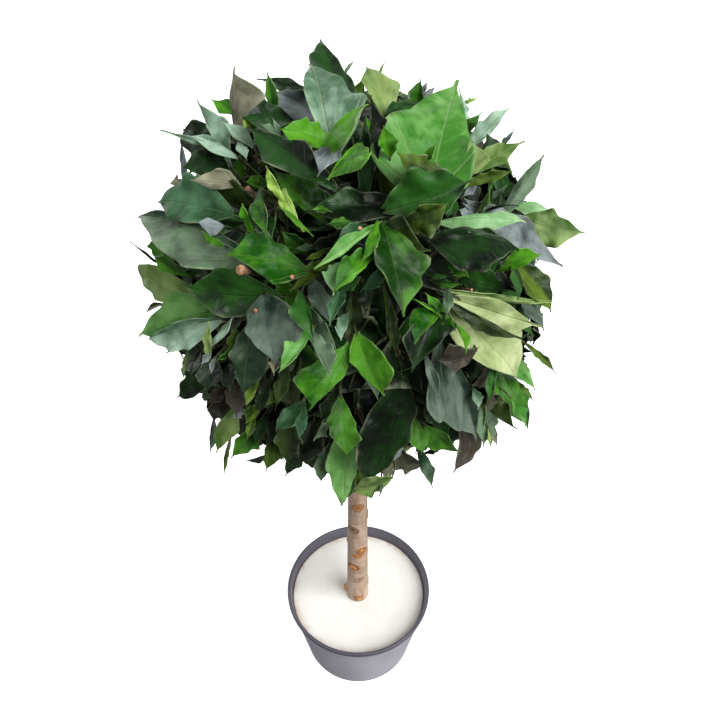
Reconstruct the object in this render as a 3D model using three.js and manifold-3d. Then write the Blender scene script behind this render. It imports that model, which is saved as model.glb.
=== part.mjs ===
// A ball topiary of preserved ivy: a clipped ball of leaves on a bare wood stem, set in plaster in a pot.
// Millimetres, +Z up, with the origin at the middle of the pot's flat underside.
import * as THREE from 'three';
import { mergeVertices } from 'three/addons/utils/BufferGeometryUtils.js';
import Module from 'manifold-3d';

const wasm = await Module();
wasm.setup();

// Clearance between pieces that seat on or in one another
const FIT_GAP = 0.3;

// Pot: a tapered plastic wall under a flat rim that overhangs it
const POT_SIDES = 40;
const POT_HEIGHT = 151.5;
const POT_WALL = 2.2;
const POT_FLOOR = 3;
const POT_FOOT_RADIUS = 86;
const POT_FOOT_ROUND = 3;
const POT_NECK_RADIUS = 106.5;
const RIM_RADIUS = 110;
const RIM_DEPTH = 5;
const RIM_ROUND = 1.5;

// Plaster: fills the pot to a little below the rim
const PLASTER_TOP = 134;
const PLASTER_EDGE_ROUND = 2;

// Stem: a cut branch with the scars of its side shoots
const STEM_SIDES = 12;
const STEM_RINGS = 48;
const STEM_TOP = 735;
const STEM_FOOT_RADIUS = 16;
const STEM_PEG_RADIUS = 11.5;
const STEM_PEG_FROM = 560;
const STEM_TAPER_POWER = 1.15;
const STEM_FLARE = 0.8;
const STEM_FLARE_HEIGHT = 16;
const STEM_FOOT_SHIFT = -1.4;
const KNOT_SPREAD = 8;
const KNOTS = [
  { height: 383, bearing: -88, rise: 0.9 },
  { height: 329, bearing: -124, rise: 1.4 },
  { height: 290, bearing: 172, rise: 2.0 },
  { height: 277, bearing: -67, rise: 1.6 },
  { height: 232, bearing: -116, rise: 1.2 },
  { height: 151, bearing: -176, rise: 3.0 },
  { height: 146, bearing: -85, rise: 1.8 },
  { height: 472, bearing: 36, rise: 1.2 },
  { height: 421, bearing: 128, rise: 1.4 },
  { height: 349, bearing: 20, rise: 1.5 },
  { height: 303, bearing: 84, rise: 1.3 },
  { height: 252, bearing: 42, rise: 1.6 },
  { height: 205, bearing: 110, rise: 1.4 },
  { height: 170, bearing: 8, rise: 1.7 },
];

// Ivy ball: sprigs stuck into a round core, each a twig with leaves turned by the golden angle
const SEED = 2600;
const BALL_CENTRE = new THREE.Vector3(-6, 0, 760);
const BALL_REACH = 226;
const CORE_RADIUS = 140;
const CORE_DETAIL = 4;
const SPRIGS = 78;
const SPRIG_JITTER = 0.12;
const SPRIG_LENGTH = [24, 38];
const TWIG_ROOT_DEPTH = 12;
const TWIG_RADIUS = [1.8, 3];
const TWIG_SIDES = 3;
const GOLDEN_ANGLE = Math.PI * (3 - Math.sqrt(5));

// Leaf: a folded kite, widest near its root
const LEAVES_PER_SPRIG = 5;
const LEAF_LENGTH = [62, 84];
const LEAF_BREADTH = [0.66, 0.82];
const LEAF_THICKNESS = 2.4;
const LEAF_WIDEST = 0.36;
const LEAF_FOLD = [0.08, 0.3];
const LEAF_CURL = [0, 0.12];
const LEAF_FIRST = 0.25;
const LEAF_LAST = 0.9;
const LEAF_SPREAD = [74, 40].map(THREE.MathUtils.degToRad);
const LEAF_SPREAD_VARIES = [0.85, 1.15];
const LEAF_DROOP = 0.22;
const LEAF_STEM_CLEARANCE = 4;
const LEAF_TRIES = 8;
const TRY_TURN = 0.7;

const MATERIALS = {
  pot: new THREE.MeshStandardMaterial({ color: 0x6f6d75, roughness: 0.5, metalness: 0 }),
  plaster: new THREE.MeshStandardMaterial({ color: 0xf0efea, roughness: 0.9, metalness: 0 }),
  wood: new THREE.MeshStandardMaterial({ color: 0x8a6f5a, roughness: 0.7, metalness: 0 }),
  ivy: new THREE.MeshStandardMaterial({ color: 0x24581c, roughness: 0.4, metalness: 0 }),
};

// A seeded generator of even numbers from 0 to 1
function seededRandom(seed) {
  let state = seed >>> 0;
  return () => {
    state = (state + 0x6d2b79f5) >>> 0;
    let mixed = Math.imul(state ^ (state >>> 15), 1 | state);
    mixed = (mixed + Math.imul(mixed ^ (mixed >>> 7), 61 | mixed)) ^ mixed;
    return ((mixed ^ (mixed >>> 14)) >>> 0) / 4294967296;
  };
}

function between([low, high], share) {
  return low + (high - low) * share;
}

// Turns a closed profile of (radius, height) points about +Z
function turned(points) {
  const profile = points.map(([radius, height]) => new THREE.Vector2(radius, height));
  return new THREE.LatheGeometry(profile, POT_SIDES).rotateX(Math.PI / 2);
}

function named(name, geometry, material) {
  const mesh = new THREE.Mesh(geometry, material);
  mesh.name = name;
  return mesh;
}

// Outer radius of the pot's wall at a height
function wallRadius(height) {
  return between([POT_FOOT_RADIUS, POT_NECK_RADIUS], height / (POT_HEIGHT - RIM_DEPTH));
}

function insideRadius(height) {
  return wallRadius(height) - POT_WALL;
}

function makePot() {
  const neckHeight = POT_HEIGHT - RIM_DEPTH;
  const mouthHeight = POT_HEIGHT - RIM_ROUND;
  const profile = [
    [0, 0],
    [POT_FOOT_RADIUS - POT_FOOT_ROUND, 0],
    [wallRadius(POT_FOOT_ROUND), POT_FOOT_ROUND],
    [POT_NECK_RADIUS, neckHeight],
    [RIM_RADIUS - RIM_ROUND, neckHeight],
    [RIM_RADIUS, neckHeight + RIM_ROUND],
    [RIM_RADIUS, mouthHeight],
    [RIM_RADIUS - RIM_ROUND, POT_HEIGHT],
    [insideRadius(mouthHeight) + RIM_ROUND, POT_HEIGHT],
    [insideRadius(mouthHeight), mouthHeight],
    [insideRadius(POT_FLOOR), POT_FLOOR],
    [0, POT_FLOOR],
  ];
  return named('pot', turned(profile), MATERIALS.pot);
}

function makePlaster() {
  const bottom = POT_FLOOR + FIT_GAP;
  const shoulder = PLASTER_TOP - PLASTER_EDGE_ROUND;
  const profile = [
    [0, bottom],
    [insideRadius(bottom) - FIT_GAP, bottom],
    [insideRadius(shoulder) - FIT_GAP, shoulder],
    [insideRadius(shoulder) - FIT_GAP - PLASTER_EDGE_ROUND, PLASTER_TOP],
    [0, PLASTER_TOP],
  ];
  return named('plaster_fill', turned(profile), MATERIALS.plaster);
}

// Radius of the bare stem at a height: a slow taper, a slight flare at the foot, a straight peg on top
function stemRadius(height) {
  const below = Math.max((STEM_PEG_FROM - height) / (STEM_PEG_FROM - PLASTER_TOP), 0);
  const flare = STEM_FLARE * Math.exp(-(height - PLASTER_TOP) / STEM_FLARE_HEIGHT);
  return between([STEM_PEG_RADIUS, STEM_FOOT_RADIUS], below ** STEM_TAPER_POWER) + flare;
}

// How far the knots push the bark out at a height and bearing
function knotRise(height, bearing) {
  let rise = 0;
  for (const knot of KNOTS) {
    const turn = bearing - THREE.MathUtils.degToRad(knot.bearing);
    const across = Math.atan2(Math.sin(turn), Math.cos(turn)) * stemRadius(height);
    const away = Math.hypot(across, height - knot.height) / KNOT_SPREAD;
    rise += knot.rise * Math.exp(-away * away);
  }
  return rise;
}

function makeStem() {
  const foot = PLASTER_TOP + FIT_GAP;
  const length = STEM_TOP - foot;
  const stem = new THREE.CylinderGeometry(1, 1, length, STEM_SIDES, STEM_RINGS);
  stem.rotateX(Math.PI / 2).translate(0, 0, foot + length / 2);
  const position = stem.attributes.position;
  for (let i = 0; i < position.count; i += 1) {
    const height = position.getZ(i);
    const bearing = Math.atan2(position.getY(i), position.getX(i));
    const onAxis = Math.hypot(position.getX(i), position.getY(i)) < 0.5;
    const radius = onAxis ? 0 : stemRadius(height) + knotRise(height, bearing);
    const straight = THREE.MathUtils.smoothstep(height, PLASTER_TOP, STEM_PEG_FROM);
    const shift = STEM_FOOT_SHIFT * (1 - straight);
    position.setXY(i, shift + radius * Math.cos(bearing), radius * Math.sin(bearing));
  }
  return named('stem', stem, MATERIALS.wood);
}

// A closed geometry as a solid that can be joined and cut
function solidOf(geometry) {
  geometry.deleteAttribute('normal');
  geometry.deleteAttribute('uv');
  const merged = mergeVertices(geometry);
  return new wasm.Manifold(new wasm.Mesh({
    numProp: 3,
    vertProperties: new Float32Array(merged.attributes.position.array),
    triVerts: new Uint32Array(merged.index.array),
  }));
}

function geometryOf(solid) {
  const { vertProperties, triVerts } = solid.getMesh();
  const geometry = new THREE.BufferGeometry();
  geometry.setAttribute('position', new THREE.BufferAttribute(vertProperties, 3));
  geometry.setIndex(new THREE.BufferAttribute(triVerts, 1));
  geometry.computeVertexNormals();
  return geometry;
}

// Direction of a sprig: evenly spread over the ball, a little out of step
function sprigDirection(index, random) {
  const height = 1 - (2 * index + 1) / SPRIGS;
  const ring = Math.sqrt(1 - height * height);
  const turn = index * GOLDEN_ANGLE;
  const direction = new THREE.Vector3(ring * Math.cos(turn), ring * Math.sin(turn), height);
  const jitter = new THREE.Vector3(random() - 0.5, random() - 0.5, random() - 0.5);
  return direction.addScaledVector(jitter, 2 * SPRIG_JITTER).normalize();
}

// Two directions at right angles to an axis and to each other
function sideways(axis) {
  const first = new THREE.Vector3(0, 0, 1).cross(axis);
  if (first.length() < 0.1) {
    first.set(1, 0, 0);
  }
  first.normalize();
  const second = axis.clone().cross(first).normalize();
  return [first, second];
}

// A sprig has its own seed, so its twig and leaves never depend on its neighbours' numbers
function makeSprig(index) {
  const random = seededRandom(SEED + index);
  const direction = sprigDirection(index, random);
  const tip = CORE_RADIUS + between(SPRIG_LENGTH, random());
  const start = 2 * Math.PI * random();
  return { random, direction, sides: sideways(direction), tip, start };
}

function twigGeometry({ direction, tip }) {
  const root = CORE_RADIUS - TWIG_ROOT_DEPTH;
  const twig = new THREE.CylinderGeometry(...TWIG_RADIUS, tip - root, TWIG_SIDES);
  const turn = new THREE.Quaternion().setFromUnitVectors(new THREE.Vector3(0, 1, 0), direction);
  const middle = direction.clone().multiplyScalar((root + tip) / 2);
  return twig.applyQuaternion(turn).translate(middle.x, middle.y, middle.z);
}

// A leaf with its root at the origin, its tip along +Y and its upper side towards +Z
function leafGeometry({ length, width, fold, curl }) {
  const leaf = new THREE.OctahedronGeometry(1);
  const position = leaf.attributes.position;
  for (let i = 0; i < position.count; i += 1) {
    const across = position.getX(i) * width / 2;
    const along = position.getY(i);
    const reach = along < -0.5 ? 0 : (along > 0.5 ? length : LEAF_WIDEST * length);
    const lift = Math.abs(across) * fold - (along > 0.5 ? curl * length : 0);
    position.setXYZ(i, across, reach, lift + position.getZ(i) * LEAF_THICKNESS / 2);
  }
  return leaf;
}

// Where a leaf grows from and which way it points: wide of the twig low down, along it near the tip
function leafPose({ random, direction, sides, tip, start }, step, attempt) {
  const share = between([LEAF_FIRST, LEAF_LAST], step / (LEAVES_PER_SPRIG - 1));
  const turn = start + step * GOLDEN_ANGLE + attempt * TRY_TURN;
  const spread = between(LEAF_SPREAD, share) * between(LEAF_SPREAD_VARIES, random());
  const outward = new THREE.Vector3();
  outward.addScaledVector(sides[0], Math.cos(turn)).addScaledVector(sides[1], Math.sin(turn));
  const pointing = direction.clone().multiplyScalar(Math.cos(spread));
  pointing.addScaledVector(outward, Math.sin(spread));
  pointing.z -= LEAF_DROOP * random();
  pointing.normalize();
  const upper = direction.clone().addScaledVector(pointing, -direction.dot(pointing)).normalize();
  const across = pointing.clone().cross(upper);
  const root = direction.clone().multiplyScalar(between([CORE_RADIUS, tip], share));
  return new THREE.Matrix4().makeBasis(across, pointing, upper).setPosition(root);
}

function leafSize(random) {
  const length = between(LEAF_LENGTH, random());
  return {
    length,
    width: length * between(LEAF_BREADTH, random()),
    fold: between(LEAF_FOLD, random()),
    curl: between(LEAF_CURL, random()),
  };
}

// A leaf stays within the ball's reach and clear of the stem
function leafFits(leaf) {
  const position = leaf.attributes.position;
  const point = new THREE.Vector3();
  const clear = STEM_PEG_RADIUS + LEAF_STEM_CLEARANCE;
  for (let i = 0; i < position.count; i += 1) {
    point.fromBufferAttribute(position, i);
    const fromStem = Math.hypot(point.x + BALL_CENTRE.x, point.y);
    if (point.length() > BALL_REACH || (point.z < 0 && fromStem < clear)) {
      return false;
    }
  }
  return true;
}

// Whether a leaf would pass through one that has grown already
function crossesAny(leaf, grown) {
  return grown.some((other) => {
    if (leaf.middle.distanceTo(other.middle) > leaf.radius + other.radius) {
      return false;
    }
    const shared = leaf.solid.intersect(other.solid);
    const crosses = !shared.isEmpty();
    shared.delete();
    return crosses;
  });
}

function measuredLeaf(geometry) {
  geometry.computeBoundingSphere();
  const { center, radius } = geometry.boundingSphere;
  return { middle: center, radius, solid: solidOf(geometry) };
}

// One leaf of a sprig, turned on round the twig until it fits, or nothing where it never does
function growLeaf(sprig, step, grown) {
  for (let attempt = 0; attempt < LEAF_TRIES; attempt += 1) {
    const pose = leafPose(sprig, step, attempt);
    const geometry = leafGeometry(leafSize(sprig.random)).applyMatrix4(pose);
    if (leafFits(geometry)) {
      const leaf = measuredLeaf(geometry);
      if (!crossesAny(leaf, grown)) {
        return [leaf];
      }
    }
  }
  return [];
}

// The socket that the stem's peg stands in, in the ball's own frame
function socketGeometry() {
  const top = STEM_TOP + FIT_GAP - BALL_CENTRE.z;
  const bottom = -BALL_REACH;
  const socket = new THREE.CylinderGeometry(
    STEM_PEG_RADIUS + FIT_GAP, STEM_PEG_RADIUS + FIT_GAP, top - bottom, STEM_SIDES);
  return socket.rotateX(Math.PI / 2).translate(-BALL_CENTRE.x, -BALL_CENTRE.y, (top + bottom) / 2);
}

// Core, twigs and leaves joined, cut clear of the stem, with the loose scraps of the cut dropped
function makeIvyBall() {
  const solids = [solidOf(new THREE.IcosahedronGeometry(CORE_RADIUS, CORE_DETAIL))];
  const leaves = [];
  for (let index = 0; index < SPRIGS; index += 1) {
    const sprig = makeSprig(index);
    solids.push(solidOf(twigGeometry(sprig)));
    for (let step = 0; step < LEAVES_PER_SPRIG; step += 1) {
      leaves.push(...growLeaf(sprig, step, leaves));
    }
  }
  solids.push(...leaves.map((leaf) => leaf.solid));
  const cut = wasm.Manifold.union(solids).subtract(solidOf(socketGeometry()));
  const bodies = cut.decompose().sort((one, other) => other.volume() - one.volume());
  const ball = named('ivy_ball', geometryOf(bodies[0]), MATERIALS.ivy);
  ball.position.copy(BALL_CENTRE);
  return ball;
}

const topiary = new THREE.Group();
topiary.add(makePot(), makePlaster(), makeStem(), makeIvyBall());

export default topiary;
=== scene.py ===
import math
from collections import defaultdict, namedtuple
from functools import lru_cache

import bpy
import numpy as np
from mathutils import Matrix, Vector, noise


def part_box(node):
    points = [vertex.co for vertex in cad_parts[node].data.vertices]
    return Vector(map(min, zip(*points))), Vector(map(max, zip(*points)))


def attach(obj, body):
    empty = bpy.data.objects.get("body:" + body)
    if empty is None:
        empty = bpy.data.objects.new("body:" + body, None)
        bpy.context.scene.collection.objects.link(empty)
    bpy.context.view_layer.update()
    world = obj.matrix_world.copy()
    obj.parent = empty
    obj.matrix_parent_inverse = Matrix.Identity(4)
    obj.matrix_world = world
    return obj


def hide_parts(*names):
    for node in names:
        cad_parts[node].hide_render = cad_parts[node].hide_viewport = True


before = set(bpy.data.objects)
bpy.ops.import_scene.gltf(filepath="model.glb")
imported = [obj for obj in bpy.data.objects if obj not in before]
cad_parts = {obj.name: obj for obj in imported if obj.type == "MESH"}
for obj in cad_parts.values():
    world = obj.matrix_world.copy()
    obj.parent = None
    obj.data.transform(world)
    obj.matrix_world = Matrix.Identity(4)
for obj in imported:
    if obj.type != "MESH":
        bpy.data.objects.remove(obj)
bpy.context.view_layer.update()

# Everything is in metres, +Z up, with the origin in the middle of the pot's underside.

# Camera, fitted to the pot's rim, the plaster's edge and the ball's outline
IMAGE_SIZE = 720
CAMERA_PLACE = np.array([0.0025, -0.593, 1.233])
CAMERA_TILT = math.radians(45.3)
LENS = 38.0
SENSOR = 36.0
FOCAL_PX = IMAGE_SIZE * LENS / SENSOR
VIEW_AHEAD = np.array([0, math.sin(CAMERA_TILT), -math.cos(CAMERA_TILT)])
VIEW_UP = np.array([0, math.cos(CAMERA_TILT), math.sin(CAMERA_TILT)])

# Ball of ivy: the same centre, reach and sprigs as the solid that it replaces
BALL_CENTRE = np.array([-0.006, 0.0, 0.760])
BALL_REACH = 0.226
CORE_RADIUS = 0.140
CORE_RELIEF = 0.004
CORE_RELIEF_SCALE = 60
CORE_DETAIL = 5
SEED = 2600
SPRIGS = 78
SPRIG_JITTER = 0.12
SPRIG_LENGTH = (0.024, 0.038)
TWIG_ROOT_DEPTH = 0.012
TWIG_RADIUS = (0.0024, 0.0013)
TWIG_SIDES = 7
TWIG_POINTS = 6
TWIG_SHORTENS = 0.004
GOLDEN_ANGLE = math.pi * (3 - math.sqrt(5))
LEAST_LEAN = 0.1

# Leaves of a sprig: wide of the twig low down, along it near the tip
LEAVES_PER_SPRIG = 5
LEAF_FIRST = 0.25
LEAF_LAST = 0.9
LEAF_SPREAD = (math.radians(74), math.radians(40))
LEAF_SPREAD_VARIES = (0.85, 1.15)
LEAF_DROOP = 0.22
LEAF_FACES_UP = 0.1
LEAF_TRIES = 12
TRY_TURN = 0.7
LEAF_REACH = (0.200, 0.225)
LEAF_LENGTH = (0.050, 0.072)
LEAF_HALF = (0.26, 0.45)
LEAF_WIDEST = (0.20, 0.44)
LEAF_THICKNESS = 0.0006
LEAF_CLEARANCE = 0.0022
NEAR_IN_LENGTHS = 1.2
STEM_CLEARANCE = 0.016

# Finer side shoots that grow on from each twig, and the leaves that lie close over the core
SHOOTS = 4
SHOOT_LENGTH = (0.012, 0.024)
SHOOT_POINTS = 4
SHOOT_SPREAD = math.radians(62)
SHOOT_LEAVES = 3
SHOOT_LEAF_SPREAD = math.radians(38)
SHOOT_LEAF_LENGTH = (0.046, 0.066)
LINING_LEAVES = 6
LINING_SPREAD = (math.radians(96), math.radians(78))
LINING_LENGTH = (0.054, 0.072)
LINING_REACH = 0.7
LINING_STEP = 0.5
# Lining leaves take dark tones as painted shade deep in the ball
LINING_SHADE_TONES = ("night", "dark", "dark", "forest", "olive_dark", "dark")
FILLER_LEAVES = 8
FILLER_STEP = 0.25
FILLER_LENGTH = (0.034, 0.050)
FILLER_SPREAD = (math.radians(88), math.radians(48))
STALK_LENGTH = (0.006, 0.013)
STALK_RADIUS = 0.0009
STALK_FOOT = 1.3
STALK_SIDES = 5
STALK_POINTS = 7

# Leaf mesh: rows along the midrib and columns across
FINE_GRID = (26, 14)
PLAIN_GRID = (20, 6)
LINING_GRID = (12, 4)
ROWS_PER_WAVE = 5
MARGIN_WAVE = 1.7
RUFFLE_POWER = 3
SIDES_OUT_OF_STEP = 2.1
SLOW_WAVE_SHARE = 0.5
SLOW_WAVE_PACE = 0.6
SLOW_WAVE_START = 1.0
SWELLS_ALONG = 9
SWELLS_ACROSS = 2.6
HEART_POWER = 5
HOOK_POWER = 4
HALVES_SHARPNESS = 6
ROOT_SHARE = 0.015
ROW_CROWDING = 1.2
LEAST_HALF_BREADTH = 0.009
ROOT_ROUND = 1.5
TAIL_BREADTH = (0.035, 0.09)
MIDRIB_ROUND = 0.02
RUFFLED_HALF = 0.25
SAMPLE_ROWS = 8
SAMPLE_COLUMNS = 5
# Where across the blade the painted highlight along the margin rises
EDGE_HIGHLIGHT_RANGE = (0.9, 1.0)
MARGIN_SLOT = 2
CELL_MARGIN = 0.08
RIM_IN_CELL = 0.04

# Leaves that show plainly in the photograph, laid on shells about the ball's centre, later ones in front
SPOT_ROOT_RADIUS = 0.170
SPOT_TIP_RADIUS = 0.200
SPOT_HIDDEN_SHARE = 0.24
SPOT_SHOWN_FROM = 0.25
SPOT_STEEPEST = 0.75
SPOT_FACES_VIEWER = 0.42
SPOT_ROLL = math.radians(24)
SPOT_NARROW = 0.42
STEEPEST_ROLL = math.radians(42)
PROBE = 0.001
SPOT_WIDEST = (0.14, 0.86)
SPOT_HALF = (0.035, 0.85)
SPOT_FITS = 4
SPOT_BROAD = 0.65
SPOT_TWIST = 0.5
SPOT_SWEEP = 0.5
SPOT_BEND = 0.7
SPOT_GAP = 0.003
SPOT_MOST_SHIFT = 0.040
SPOT_CLEAR_SHARE = 0.99
SPOT_SPLAT_PX = 2
SPOT_TINT_VARIES = 0.16
SPOT_TWIG_RADIUS = (0.0016, 0.0008)
HEEL_BACK = 0.012
HEEL_SUNK = 0.014
HIDING_PX = 6
SPOT_ROOM = 0.003
STEM_SHOWN_TOP = 0.405
STEM_SIGHT_STEP = 0.006
SEEN_LIMB_PX = 196.0
SEEN_FROM = 0.15
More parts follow.
